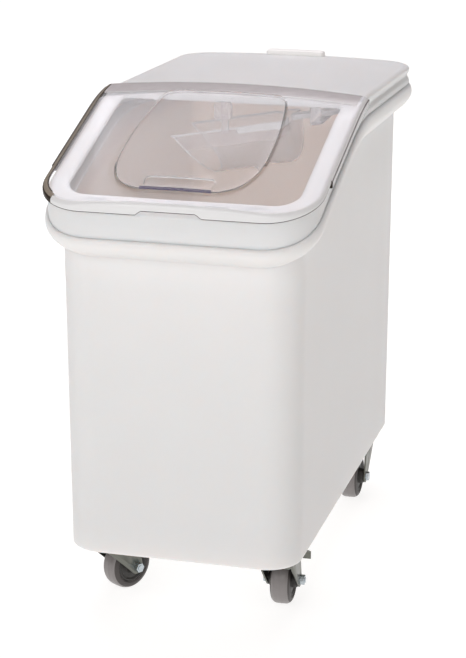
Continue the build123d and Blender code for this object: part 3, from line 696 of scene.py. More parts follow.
class BIN_OT_make_bin(Operator):
    """Make the white bin: drafted walls, rounded foot and a rolled flange round the mouth"""
    bl_idname = "bin.make_bin"
    bl_label = "Bin"

    def execute(self, context):
        sizes = context.scene.bin_shell
        base = bin_low.z
        floor = base + sizes.floor
        wall_x, wall_y = bin_high.x - sizes.reach_x, bin_high.y - sizes.reach_y
        levels = 10

        def outline(out):
            """The walls' outline, drawn in or grown towards the flange's."""
            if out <= 0:
                return box_outline(wall_x + out, -wall_y - out, wall_y + out, sizes.corner + out,
                                   sizes.rear_corner + out)
            share = out / sizes.reach_x
            along = wall_y + share * sizes.reach_y
            return box_outline(wall_x + out, -along, along, blend(sizes.corner, sizes.flange_corner, share),
                               blend(sizes.rear_corner, sizes.flange_rear, share))

        def wall_loop(out, foot, under_mouth, share):
            """One level of the slanted walls."""
            loop = []
            for flat in outline(out):
                z = blend(foot, mouth_height(flat.y) - under_mouth, share)
                grown = (z - base) * tan(sizes.draft)
                loop.append((flat.x * (1 + grown / wall_x), flat.y * (1 + grown / wall_y), z))
            return loop

        loops = []
        for into, up in quarter(6):
            flat_loop = outline(-sizes.foot_round * into)
            loops.append([(p.x, p.y, base + sizes.foot_round * up) for p in flat_loop])
        for level in range(1, levels + 1):
            loops.append(wall_loop(0, base + sizes.foot_round, sizes.flange_depth, level / levels))
        # The flange's section in millimetres: out from the wall, up from the mouth, run-up beside the cover
        rim = [(3.0, -37.4, 0), (3.4, -37.0, 0), (6.0, -35.0, 0), (10.5, -31.5, 0), (15.5, -27.2, 0),
               (20.0, -22.4, 0), (23.8, -17.4, 0), (26.4, -12.2, 0), (27.6, -9.0, 0), (28.0, -6.0, 0),
               (28.0, -3.8, 2.2), (27.6, -2.1, 3.9), (26.9, -1.0, 5.4), (26.0, -0.4, 6.6), (25.1, 0.0, 7.5),
               (24.3, 0.0, 8.2), (23.52, 0.0, 8.6), (23.52, 0.0, 3.6), (23.52, 0.0, 0.3), (23.0, 0.0, 0),
               (8.0, 0.0, 0), (0.6, 0.0, 0), (-0.6, -0.4, 0), (-1.0, -2.0, 0)]
        for out, rise, run_up in rim:
            loop = []
            for flat in outline(out / 1000):
                raised = rise + run_up * ease(sizes.run_up_start, sizes.run_up_end, flat.y)
                loop.append((flat.x, flat.y, mouth_height(flat.y) + raised / 1000))
            loops.append(loop)
        inside = len(loops) - 1
        for level in range(1, levels + 1):
            share = 1 - level / levels
            loops.append(wall_loop(-sizes.wall, floor + sizes.floor_round, sizes.lip_drop, share))
        for up, into in quarter(6)[1:]:
            flat_loop = outline(-sizes.wall - sizes.floor_round * into)
            loops.append([(p.x, p.y, floor + sizes.floor_round * up) for p in flat_loop])
        bm = bmesh.new()
        rings = [add_loop(bm, loop) for loop in loops]
        bridge(bm, rings[:inside + 1])
        # The inner faces take the warmer colour, a painted warm shade
        bridge(bm, rings[inside:], material=1)
        bm.faces.new(reversed(rings[0]))
        bm.faces.new(rings[-1]).material_index = 1
        bmesh.ops.recalc_face_normals(bm, faces=bm.faces)
        add_piece("bin_shell", to_mesh("bin_shell", bm, slots=2), "bin", ["bin_body"],
                  [white_polyethylene(), inner_polyethylene_warm_shade()])
        return {"FINISHED"}


class BIN_OT_make_cover(Operator):
    """Make the white cover: smooth front skirt, grooved sides, frame, lip and crowned deck"""
    bl_idname = "bin.make_cover"
    bl_label = "Cover"

    def execute(self, context):
        sizes = context.scene.bin_cover
        half_x, half_y = cover_high.x, cover_high.y

        def from_edge(point):
            """How far a place lies inside the cover's outline."""
            aside, ahead = half_x - abs(point.x), half_y - abs(point.y)
            corner = sizes.corner if point.y < 0 else sizes.rear_corner
            if max(aside, ahead) < corner:
                return corner - sqrt((corner - aside) ** 2 + (corner - ahead) ** 2)
            return min(aside, ahead)

        def top_rise(point):
            """Rise of the frame or the deck at a place."""
            on_deck = ease(sizes.deck_front - sizes.step_start, sizes.deck_front - sizes.step_end, point.y)
            deck = sizes.deck_rise + arch(point.x, half_x, sizes.deck_crown)
            into = min(1.0, max(0.0, 1 - from_edge(point) / sizes.edge_roll))
            drop = sizes.edge_drop * (1 - sqrt(1 - into ** 2))
            border = on_deck * sizes.border_drop * max(0.0, 1 - from_edge(point) / sizes.border)
            return blend(sizes.frame_rise, deck, on_deck) - drop - border

        def top_height(point):
            return side_height(point.y) + top_rise(point)

        def outline(inset):
            return box_outline(half_x - inset, inset - half_y, half_y - inset, sizes.corner - inset,
                               sizes.rear_corner - inset)

        def grooved(inset, fades=True):
            """The outline drawn in by inset, where a groove fades out towards the front."""
            start, end = sizes.groove_front - sizes.groove_fade, sizes.groove_front + sizes.groove_fade
            return [plain.lerp(cut, ease(start, end, plain.y) if fades else 1)
                    for plain, cut in zip(outline(0), outline(inset))]

        def opening(out):
            """The opening's outline, with a roll that is narrower towards the deck."""
            return box_outline(sizes.opening_half + out, sizes.opening_front - out,
                               sizes.deck_front + sizes.rear_lip * out, sizes.opening_corner + out,
                               sizes.opening_rear_corner + out)

        # Foot, ledge and groove of the side in millimetres: drawn in, up from the mouth or the side curve
        foot = [(0.8, 0.3), (0.2, 1.0), (0.0, 2.0)]
        side = [(0.0, 5.4), (0.0, 9.4), (0.25, 10.2), (0.1, 11.0), (0.0, 11.8), (0.1, 14.0), (0.8, 16.6),
                (1.9, 18.9), (2.9, 20.7), (3.3, 22.4)]
        side_top = side[-1][1]
        # From the groove up to the top edge: drawn in by millimetres, and the share of the way up
        shoulder = [(3.1, 0.14), (2.4, 0.30), (1.5, 0.48), (0.7, 0.66), (0.2, 0.84), (0.0, 1.0)]
        # The round of the top edge, drawn in by millimetres
        edge = [0.1, 0.3, 0.7, 1.3, 2.2, 3.5, 5.0, 7.0]
        bm = bmesh.new()
        rings = []
        for inset, rise in foot:
            flat_loop = grooved(inset / 1000, fades=False)
            rings.append(add_loop(bm, [(p.x, p.y, mouth_height(p.y) + rise / 1000) for p in flat_loop]))
        for inset, rise in side:
            flat_loop = grooved(inset / 1000)
            rings.append(add_loop(bm, [(p.x, p.y, side_height(p.y) + rise / 1000) for p in flat_loop]))
        for inset, share in shoulder:
            loop = []
            for plain, flat in zip(outline(0), grooved(inset / 1000)):
                rise = blend(side_top / 1000, top_rise(plain), share)
                loop.append((flat.x, flat.y, side_height(flat.y) + rise))
            rings.append(add_loop(bm, loop))
        for inset in edge:
            rings.append(add_loop(bm, [(p.x, p.y, top_height(p)) for p in outline(inset / 1000)]))
        bridge(bm, rings)
        inner = opening(sizes.lip_width)
        outer = outline(edge[-1] / 1000)

        def keeps(point):
            return in_outline(point, outer) and not in_outline(point, inner)

        cover_plan(bm, [outer, inner], sizes.mesh_size, keeps, top_height)
        lip = []
        for out, down in quarter(6):
            flat_loop = opening(sizes.lip_width * out)
            lip.append(add_loop(bm, [(p.x, p.y, top_height(p) - sizes.lip_round * down) for p in flat_loop]))
        lip.append(add_loop(bm, [(p.x, p.y, side_height(p.y) + sizes.lip_rise) for p in opening(0)]))
        bridge(bm, lip)
        close_shell(bm)
        mesh = to_mesh("cover_shell", bm, wall=sizes.wall)
        add_piece("cover_shell", mesh, "cover", ["top_cover"], [white_polyethylene()])
        return {"FINISHED"}


class BIN_OT_make_stop(Operator):
    """Make the small stop block on the back of the cover"""
    bl_idname = "bin.make_stop"
    bl_label = "Rear stop"

    def execute(self, context):
        middle = (stop_low.y + stop_high.y) / 2
        half_x, half_y = stop_high.x, (stop_high.y - stop_low.y) / 2
        crown = context.scene.bin_cover.deck_crown
        corner, bow = 0.004, 0.0008
        top = stop_high.z - stop_low.z - bow
        # Levels of the rounded top: drawn in, and the share of the way up
        levels = [(0.0, 0.0), (0.0, 0.35), (0.0004, 0.6), (0.001, 0.78), (0.0022, 0.92), (0.0040, 0.985),
                  (0.0065, 1.0)]
        loops = []
        for inset, share in levels:
            long, deep = half_x - inset, half_y - inset
            corners = [(long, -deep), (long, deep), (-long, deep), (-long, -deep)]
            loop = []
            for flat in rounded_outline(corners, [corner] * 4, [6, 24, 6, 24], 6):
                seat = stop_low.z + arch(flat.x, cover_high.x, crown) - arch(half_x, cover_high.x, crown)
                loop.append((flat.x, flat.y + middle, seat + top * share))
            loops.append(loop)
        bm = bmesh.new()
        add_bar(bm, loops)
        add_piece("stop_block", to_mesh("stop_block", bm), "cover", ["rear_stop"],
                  [cream_plastic()])
        return {"FINISHED"}


# Material slots of the lid. The inner faces of the frosted skirt land in the slot before its own.
CLEAR, PAINTED_SHADE, FROSTED_INSIDE, FROSTED, SMOKY_AND_SHADE, OLIVE_PAINTED_SHADE, VIOLET_PAINTED_SHADE = range(7)


class BIN_OT_make_lid(Operator):
    """Make the clear sliding lid: crowned roof, raised panel, grip, skirt with a notch, and rails"""
    bl_idname = "bin.make_lid"
    bl_label = "Sliding lid"

    def execute(self, context):
        sizes = context.scene.bin_lid
        front, rear = lid_low.y, lid_high.y

        def edge_path(inset):
            """The lid's outline, drawn in by inset, starting at its rear left corner."""
            sides, turns, sharp = [56, 40, 56, 60], 14, 0.0001
            half, corner = sizes.half - inset, sizes.corner - inset
            corners = [(half, front + inset), (half, rear), (-half, rear), (-half, front + inset)]
            whole = rounded_outline(corners, [corner, sharp, sharp, corner], sides, turns)
            start = 2 * turns + sides[0] + sides[1] + turns // 2
            return whole[start:] + whole[:start]

        def roof(point):
            return side_height(point.y) + sizes.rise + arch(point.x, sizes.half, sizes.crown)

        def panel(inset):
            """The raised panel's outline, drawn in by inset."""
            right = [(0.0, -0.3445), (0.050, -0.3445), (0.068, -0.3395), (0.088, -0.324), (0.102, -0.295),
                     (0.1085, -0.258), (0.109, -0.205), (0.106, -0.155), (0.1005, -0.115), (0.095, -0.090),
                     (0.087, -0.077), (0.074, -0.0725), (0.040, -0.072)]
            shape = smooth_loop(right + [(-x, y) for x, y in reversed(right[1:])])
            middle = Vector((0, -0.205))
            return [p - (p - middle).normalized() * inset for p in shape]

        def pocket(inset):
            """The outline of the pocket behind the grip, drawn in by inset."""
            corner, front_half, rear_half = 0.006, 0.047 - inset, 0.050 - inset
            front_line, rear_line = inset - 0.3365, -0.311 - inset
            corners = [(front_half, front_line), (rear_half, rear_line), (-rear_half, rear_line),
                       (-front_half, front_line)]
            return rounded_outline(corners, [corner] * 4, [4, 16, 4, 16], 5)

        def on(point, outline):
            return min((point - p).length for p in outline) < 1e-6 or in_outline(point, outline)

        def lifted(point):
            """Height of the roof with its raised panel and its pocket."""
            rise = sizes.panel_rise if on(point, panel_top) else 0.0
            if on(point, pocket_foot):
                rise -= sizes.pocket_depth
            return roof(point) + rise

        def bottom(point):
            """Height of the skirt's lower edge, which rises over the finger notch."""
            notch = 1 - ease(sizes.notch_half - sizes.notch_slant, sizes.notch_half, abs(point.x))
            at_front = point.y < front + sizes.notch_depth
            return side_height(point.y) + sizes.bottom + (sizes.notch_height * notch if at_front else 0)

        panel_foot, panel_top = panel(0), panel(sizes.panel_draft)
        pocket_top, pocket_foot = pocket(0), pocket(sizes.pocket_draft)
        edge = edge_path(sizes.edge_round)
        left, right = (min(edge, key=lambda p: (p - Vector((x, sizes.rear_shade_band))).length)
                       for x in (-sizes.half, sizes.half))
        band = [left.lerp(right, k / 60) for k in range(61)]
        bm = bmesh.new()
        cover_plan(bm, [edge, band, panel_foot, panel_top, pocket_top, pocket_foot], sizes.mesh_size,
                   lambda point: in_outline(point, edge), lifted)
        # The rear band and the pocket's walls take the smoky grey, a painted shade
        for face in bm.faces:
            place = face.calc_center_median().xy
            if place.y > left.y or in_outline(place, pocket_top) and not in_outline(place, pocket_foot):
                face.material_index = SMOKY_AND_SHADE

        strips = []
        for into, down in quarter(8):
            flat_loop = edge_path(sizes.edge_round * into)
            strips.append([(p.x, p.y, roof(p) - sizes.edge_drop * down) for p in flat_loop])
        last = edge_path(0)
        for share in (0.5, 1.0):
            strips.append([(p.x, p.y, blend(roof(p) - sizes.edge_drop, bottom(p) + sizes.painted_shadow_line, share))
                           for p in last])
        # The last strip is the cut lower edge, whose dark paints the shadow line under the lid
        strips.append([(p.x, p.y, bottom(p)) for p in last])
        along = [k for k, p in enumerate(last) if p.y < rear - 1e-3]
        rings = [add_loop(bm, strip[along[0] - 1:along[-1] + 2]) for strip in strips]
        # Rows below which the edge is clear, olive on the left, and frosted. On the left, the olive and dark
        # faces paint the shade of that edge, and the cut edge below is dark, a painted shadow line.
        clear_rows, olive_rows, frosted_rows = 3, 5, 10
        for row in range(len(rings) - 1):
            plain = CLEAR if row < clear_rows else FROSTED if row < frosted_rows else PAINTED_SHADE
            for face in bridge(bm, rings[row:row + 2], closed=False, material=plain):
                # The olive and dark faces on the left paint the shade along that edge
                if row > 0 and face.calc_center_median().x < -sizes.painted_shade_from:
                    face.material_index = OLIVE_PAINTED_SHADE if row < olive_rows else PAINTED_SHADE
        close_shell(bm)
        bm = reopened(to_mesh("lid_shell", bm, wall=sizes.wall, slots=7, inner_material=-1))
        # On the left, clear and smoky faces outside the roof's edge move one slot on, so the painted dark
        # shade covers that edge
        for face in bm.faces:
            place = face.calc_center_median()
            on_left = place.x < -sizes.painted_shade_from
            if face.material_index in (CLEAR, SMOKY_AND_SHADE) and on_left and not in_outline(place.xy, edge):
                face.material_index += 1
            # On the right, dark faces that face back or down turn frosted, so the painted shadow line stays
            # on the outer faces
            elif face.material_index == PAINTED_SHADE and place.x > -sizes.painted_shade_from:
                if face.normal.y > 0.1 or face.normal.z < -0.7:
                    face.material_index = FROSTED
        for side in (-1, 1):
            self.add_rail(bm, sizes, side, rear)
        self.add_grip(bm, sizes, roof)
        add_piece("clear_lid", to_mesh("clear_lid", bm, slots=7), "lid", ["sliding_lid"],
                  [clear_polycarbonate(), polycarbonate_edge_painted_shade(), frosted_polycarbonate(),
                   frosted_polycarbonate(), smoky_polycarbonate_and_shade(), olive_painted_shade(), violet_painted_shade()])
        return {"FINISHED"}

    def add_rail(self, bm, sizes, side, rear):
        """One side rail: a rounded bar that follows the side curve, smoky outside and dark elsewhere, where
        the dark paints the rail's lines of shade.
        """
        low, high = sizes.bottom - sizes.rail_drop, sizes.bottom + sizes.rail_height
        inner, outer = lid_high.x - sizes.rail_thick, lid_high.x
        inner_round, outer_round, steps = 0.0008, 0.0014, 40
        section = rounded_outline([(inner, low), (outer, low), (outer, high), (inner, high)],
                                  [inner_round, outer_round, outer_round, inner_round], [2, 2, 2, 2], 4)
        loops = []
        for step in range(steps + 1):
            y = blend(sizes.rail_front, rear, step / steps)
            loops.append([(side * p.x, y, side_height(y) + p.y) for p in section])
        # The dark faces paint the rail's shade lines; the outer ones are smoky
        for face in add_bar(bm, loops, material=PAINTED_SHADE):
            if face.normal.x * side > 0.95 or face.normal.z * side > 0.9:
                face.material_index = SMOKY_AND_SHADE

    def add_grip(self, bm, sizes, roof):
        """The grip bar at the front of the raised panel, from its foot in the roof to its rounded top."""
        foot, top, steps = 0.0005, 0.0042, 24
        foot_round, top_round = 0.0004, 0.0010
        section = rounded_outline([(-0.3408, foot), (-0.3378, foot), (-0.3380, top), (-0.3406, top)],
                                  [foot_round, foot_round, top_round, top_round], [2, 2, 2, 2], 4)
        loops = []
        for step in range(steps + 1):
            x = blend(-sizes.grip_half, sizes.grip_half, step / steps)
            loops.append([(x, p.x, roof(Vector((x, p.x))) + p.y) for p in section])
        # The dark violet paints the shade of the grip's steep face
        add_bar(bm, loops, material=VIOLET_PAINTED_SHADE)


class BIN_OT_make_scoop(Operator):
    """Make the clear scoop: a trough with a slanted mouth, a turned-out rim and a flat handle"""
    bl_idname = "bin.make_scoop"
    bl_label = "Scoop"

    def execute(self, context):
        sizes = context.scene.bin_scoop
        along = Vector((cos(sizes.tilt), 0, sin(sizes.tilt)))
        up = Vector((-sin(sizes.tilt), 0, cos(sizes.tilt)))
        half = sizes.half
        clear, frosted, hazy = range(3)

        def place(length, across, height):
            return Vector(sizes.place) + along * length + Vector((0, across, 0)) + up * height

        # Section across the bowl, from the rim's edge down the near side and up the far one
        left = [(-half - sizes.rim, 0.0), (-half - 0.0012, 0.0), (-half - 0.0002, -0.001), (-half, -0.003),
                (-half, -0.011)]
        arc = [pi + pi * step / 28 for step in range(29)]
        bowl = [(half * cos(a), half * sin(a) - sizes.straight) for a in arc]
        section = left + bowl + [(-across, height) for across, height in reversed(left)]
        steps, crowding = 15, 1.6
        bm = bmesh.new()
        columns = []
        for step in range(steps + 1):
            column = []
            for across, height in section:
                start = -height * tan(sizes.mouth)
                end = sizes.length - sizes.end_round
                column.append(place(blend(start, end, (step / steps) ** crowding), across, height))
            columns.append(add_loop(bm, column))
        for back, into in quarter(4)[1:]:
            shrink = 1 - sizes.end_round / half * into
            reach = sizes.length - sizes.end_round * back
            columns.append(add_loop(bm, [place(reach, across * shrink, height * shrink)
                                         for across, height in section]))
        row_of = {vertex: row for column in columns for row, vertex in enumerate(column)}
        for face in bridge(bm, columns, closed=False):
            rows = [row_of[vertex] for vertex in face.verts]
            at_rim = min(rows) < 3 or max(rows) > len(section) - 4
            at_mouth = any(vertex in columns[0] for vertex in face.verts)
            near_side = max(rows) < len(left) + 2
            at_band = max(rows) < len(left) and face.calc_center_median().x > sizes.band_from
            face.material_index = frosted if at_rim or at_mouth or at_band else hazy if near_side else clear
        bm.faces.new(columns[-1][2:-2])
        bmesh.ops.recalc_face_normals(bm, faces=bm.faces)
        bm = reopened(to_mesh("scoop_shell", bm, wall=sizes.wall, slots=3))
        self.add_handle(bm, sizes, place, frosted)
        add_piece("clear_scoop", to_mesh("clear_scoop", bm, slots=3), "scoop", ["scoop"],
                  [clear_polycarbonate(), frosted_polycarbonate(), hazy_plastic()])
        return {"FINISHED"}

    def add_handle(self, bm, sizes, place, material):
        """The flat handle: a bar with a round end and soft edges, let into the bowl's end."""
        root, end = sizes.length - 0.001, sizes.length + sizes.handle
        thick, soft, slight, square = sizes.handle_thick, 0.0016, 0.0004, 0.0002
        loops = []
        for inset, height in ((soft, -thick), (slight, slight - thick), (0.0, soft - thick),
                              (0.0, -soft), (slight, -slight), (soft, 0.0)):
            deep = sizes.handle_half - inset
            tip = deep * 0.96
            corners = [(root, -deep), (end - inset, -deep), (end - inset, deep), (root, deep)]
            outline = rounded_outline(corners, [square, tip, tip, square], [8, 2, 8, 4], 10)
            loops.append([place(p.x, p.y, height) for p in outline])
        add_bar(bm, loops, material=material)


class BIN_OT_make_wheels(Operator):
    """Make the treads and cores of the four wheels"""
    bl_idname = "bin.make_wheels"
    bl_label = "Wheels"

    def execute(self, context):
        sizes = context.scene.bin_wheels
        axes = {joint["name"]: joint["axis"] for joint in frame["joints"]}
        for caster in casters:
            low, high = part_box(f"{caster}_wheel_tread")
            centre = (low + high) / 2
            axis = Vector(axes[f"{caster}_wheel_spin"]).normalized()
            body = f"{caster}_wheel"
            bm = bmesh.new()
            turned(bm, self.tread_profile(sizes), centre, axis)
            # The tread's sides take the darker rubber, a painted shade
            for face in bm.faces:
                aside = abs((face.calc_center_median() - centre).dot(axis))
                face.material_index = 1 if aside > sizes.half - sizes.shoulder / 3 else 0
            add_piece(f"{caster}_tread", to_mesh(f"{caster}_tread", bm, slots=2), body,
                      [f"{caster}_wheel_tread"], [rubber_tread(), rubber_wall_painted_shade()])
            bm = bmesh.new()
            turned(bm, self.core_profile(sizes), centre, axis)
            add_piece(f"{caster}_core", to_mesh(f"{caster}_core", bm), body, [f"{caster}_wheel_core"],
                      [nylon_core()])
        return {"FINISHED"}

    def tread_profile(self, sizes):
        """Round shoulders, a fine mould line in the middle and a groove round each side."""
        gap, groove, mould_line = 0.0001, 0.0006, 0.0002
        half, inner, outer = sizes.half, sizes.core + gap, sizes.radius
        right = [(half - groove, inner), (half, inner + groove), (half, inner + 0.0008),
                 (half - groove, inner + 0.0014), (half, inner + 0.0020)]
        for down, into in quarter(8):
            right.append((half - sizes.shoulder * into, outer - mould_line - sizes.shoulder * down))
        right += [(0.0008, outer - mould_line), (0.0003, outer)]
        return right + [(-along, radius) for along, radius in reversed(right)]

    def core_profile(self, sizes):
        """Rim, sunk web and hub with rounded edges."""
        soft = 0.0008
        hub, hub_half, web_half, half = sizes.hub, sizes.hub_half, sizes.web_half, sizes.core_half
        rim = sizes.core - sizes.core_rim
        right = [(hub_half - soft, sizes.bore), (hub_half, sizes.bore + soft), (hub_half, hub - soft),
                 (hub_half - soft, hub), (web_half + soft, hub + soft), (web_half, hub + 2 * soft),
                 (web_half, rim - 2 * soft), (web_half + soft, rim - soft), (half - soft, rim),
                 (half, rim + soft), (half, sizes.core - soft), (half - soft, sizes.core)]
        return right + [(-along, radius) for along, radius in reversed(right)]


class BIN_OT_make_fasteners(Operator):
    """Make the bolts under the caster plates and the rings of balls with Geometry Nodes"""
    bl_idname = "bin.make_fasteners"
    bl_label = "Bolts and balls"

    def execute(self, context):
        sizes = context.scene.bin_wheels
        places = []
        for caster in casters:
            low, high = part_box(f"{caster}_plate")
            middle = (low + high) / 2
            under = high.z - sizes.plate
            for side in (-0.5, 0.5):
                for end in (-0.5, 0.5):
                    x, y = middle.x + side * sizes.bolt_row_x, middle.y + end * sizes.bolt_row_y
                    places.append((x, y, under))
        bolts = self.grown("plate_screws", places, hex_bolt_tree(), {
            "Across Flats": sizes.hex_across, "Head Height": sizes.hex_height, "Shank Radius": sizes.shank,
            "Shank Length": sizes.shank_length, "Material": shaded_zinc_plate()})
        add_piece("plate_screws", bolts, "bin", ["plate_bolts"], [shaded_zinc_plate()])
        for caster in casters:
            low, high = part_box(f"{caster}_balls")
            ring = self.grown(f"{caster}_race", [(low + high) / 2], ball_ring_tree(), {
                "Count": sizes.balls, "Ring Radius": sizes.ball_circle, "Ball Radius": sizes.ball,
                "Material": bearing_steel()})
            add_piece(f"{caster}_race", ring, f"{caster}_swivel", [f"{caster}_balls"],
                      [bearing_steel()], sharp=80)
        return {"FINISHED"}

    def grown(self, name, places, tree, values):
        """A plain mesh that a node tree grows from points."""
        seed = bpy.data.meshes.new(name)
        seed.from_pydata(places, [], [])
        blank = linked(name, seed)
        modifier = blank.modifiers.new("Grow", "NODES")
        modifier.node_group = tree
        for item in tree.interface.items_tree:
            if item.name in values:
                modifier[item.identifier] = values[item.name]
        return baked(blank)


def new_tree(name, sockets):
    """A geometry tree with named inputs, its input node and its output node."""
    tree = bpy.data.node_groups.new(name, "GeometryNodeTree")
    tree.interface.new_socket("Geometry", in_out="INPUT", socket_type="NodeSocketGeometry")
    for label, kind in sockets.items():
        tree.interface.new_socket(label, in_out="INPUT", socket_type=kind)
    tree.interface.new_socket("Geometry", in_out="OUTPUT", socket_type="NodeSocketGeometry")
    return tree, add_node(tree, "NodeGroupInput").outputs


def close_tree(tree, given, points, instance):
    """Puts an instance on points, makes it real, gives it its material and ends the tree."""
    placed = add_node(tree, "GeometryNodeInstanceOnPoints", {"Points": points, "Instance": instance})
    real = add_node(tree, "GeometryNodeRealizeInstances", {"Geometry": placed.outputs[0]})
    done = add_node(tree, "GeometryNodeSetMaterial",
                    {"Geometry": real.outputs[0], "Material": given["Material"]})
    add_node(tree, "NodeGroupOutput", {"Geometry": done.outputs[0]})
    return tree


def hex_bolt_tree():
    """A hex bolt hanging from each point: bevelled head below, shank above."""
    tree, given = new_tree("Hex bolts", {
        "Across Flats": "NodeSocketFloat", "Head Height": "NodeSocketFloat",
        "Shank Radius": "NodeSocketFloat", "Shank Length": "NodeSocketFloat",
        "Material": "NodeSocketMaterial"})
    circle = add_node(tree, "ShaderNodeMath", {0: given["Across Flats"], 1: 1 / sqrt(3)},
                      operation="MULTIPLY")
    small = add_node(tree, "ShaderNodeMath", {0: given["Across Flats"], 1: 0.5}, operation="MULTIPLY")
    bevel = add_node(tree, "ShaderNodeMath", {0: given["Head Height"], 1: 0.2}, operation="MULTIPLY")
    body = add_node(tree, "ShaderNodeMath", {0: given["Head Height"], 1: bevel.outputs[0]},
                    operation="SUBTRACT")
    head = add_node(tree, "GeometryNodeMeshCylinder",
                    {"Vertices": 6, "Radius": circle.outputs[0], "Depth": body.outputs[0]})
    tip = add_node(tree, "GeometryNodeMeshCone",
                   {"Vertices": 6, "Radius Top": circle.outputs[0], "Radius Bottom": small.outputs[0],
                    "Depth": bevel.outputs[0]})
    shank = add_node(tree, "GeometryNodeMeshCylinder",
                     {"Vertices": 24, "Radius": given["Shank Radius"], "Depth": given["Shank Length"]})
    half_body = add_node(tree, "ShaderNodeMath", {0: body.outputs[0], 1: -0.5}, operation="MULTIPLY")
    low = add_node(tree, "ShaderNodeMath", {0: given["Head Height"], 1: -1.0}, operation="MULTIPLY")
    half_shank = add_node(tree, "ShaderNodeMath", {0: given["Shank Length"], 1: 0.5}, operation="MULTIPLY")
    joined = add_node(tree, "GeometryNodeJoinGeometry")
    for shape, lift in ((head, half_body), (tip, low), (shank, half_shank)):
        offset = add_node(tree, "ShaderNodeCombineXYZ", {"Z": lift.outputs[0]})
        moved = add_node(tree, "GeometryNodeTransform",
                         {"Geometry": shape.outputs["Mesh"], "Translation": offset.outputs[0]})
        tree.links.new(moved.outputs[0], joined.inputs[0])
    return close_tree(tree, given, given["Geometry"], joined.outputs[0])


def ball_ring_tree():
    """A ring of bearing balls round each point."""
    tree, given = new_tree("Ball ring", {
        "Count": "NodeSocketInt", "Ring Radius": "NodeSocketFloat", "Ball Radius": "NodeSocketFloat",
        "Material": "NodeSocketMaterial"})
    ring = add_node(tree, "GeometryNodeMeshCircle",
                    {"Vertices": given["Count"], "Radius": given["Ring Radius"]})
    spread = add_node(tree, "GeometryNodeInstanceOnPoints",
                      {"Points": given["Geometry"], "Instance": ring.outputs[0]})
    real = add_node(tree, "GeometryNodeRealizeInstances", {"Geometry": spread.outputs[0]})
    ball = add_node(tree, "GeometryNodeMeshIcoSphere", {"Radius": given["Ball Radius"], "Subdivisions": 4})
    return close_tree(tree, given, real.outputs[0], ball.outputs[0])


class BIN_OT_make_hardware(Operator):
    """Make the forks, pedals and hooks with small rounds, and finish the parts that keep their shape"""
    bl_idname = "bin.make_hardware"
    bl_label = "Hardware"

    def execute(self, context):
        sizes = context.scene.bin_wheels
        hook_round = context.scene.bin_scoop.hook_round
        for caster in casters:
            self.add_rounded(f"{caster}_fork", f"{caster}_swivel", "zinc_steel", shaded_zinc_plate(),
                             sizes.fork_round)
        for caster in casters[:2]:
            self.add_rounded(f"{caster}_brake_pedal", f"{caster}_brake", "zinc_steel", shaded_zinc_plate(),
                             sizes.pedal_round)
        for name in ("rim_hook", "handle_hook"):
            self.add_rounded(name, "cover", "clear_plastic", hazy_plastic(), hook_round)
        finishes = {"axle_bolt": bright_zinc, "axle_nut": bright_zinc, "sleeve": bearing_steel,
                    "inserts": turned_brass}
        for name, node in frame["nodes"].items():
            if node.hide_render:
                continue
            # Parts without a listed word take the zinc darkened for painted shade
            finish = next((make for word, make in finishes.items() if word in name), shaded_zinc_plate)
            for holder in node.material_slots:
                holder.material = finish()
        return {"FINISHED"}

    def add_rounded(self, name, body, slot, material, width):
        """A copy of a part's shape with its edges rounded."""
        node = frame["nodes"][name]
        bm = bmesh.new()
        bm.from_mesh(node.data)
        bm.transform(node.matrix_world)
        bmesh.ops.remove_doubles(bm, verts=bm.verts, dist=1e-6)
        bmesh.ops.dissolve_limit(bm, angle_limit=radians(1), verts=bm.verts, edges=bm.edges)
        add_piece(f"{name}_shape", to_mesh(f"{name}_shape", bm, bevel=width), body, [name], [material])


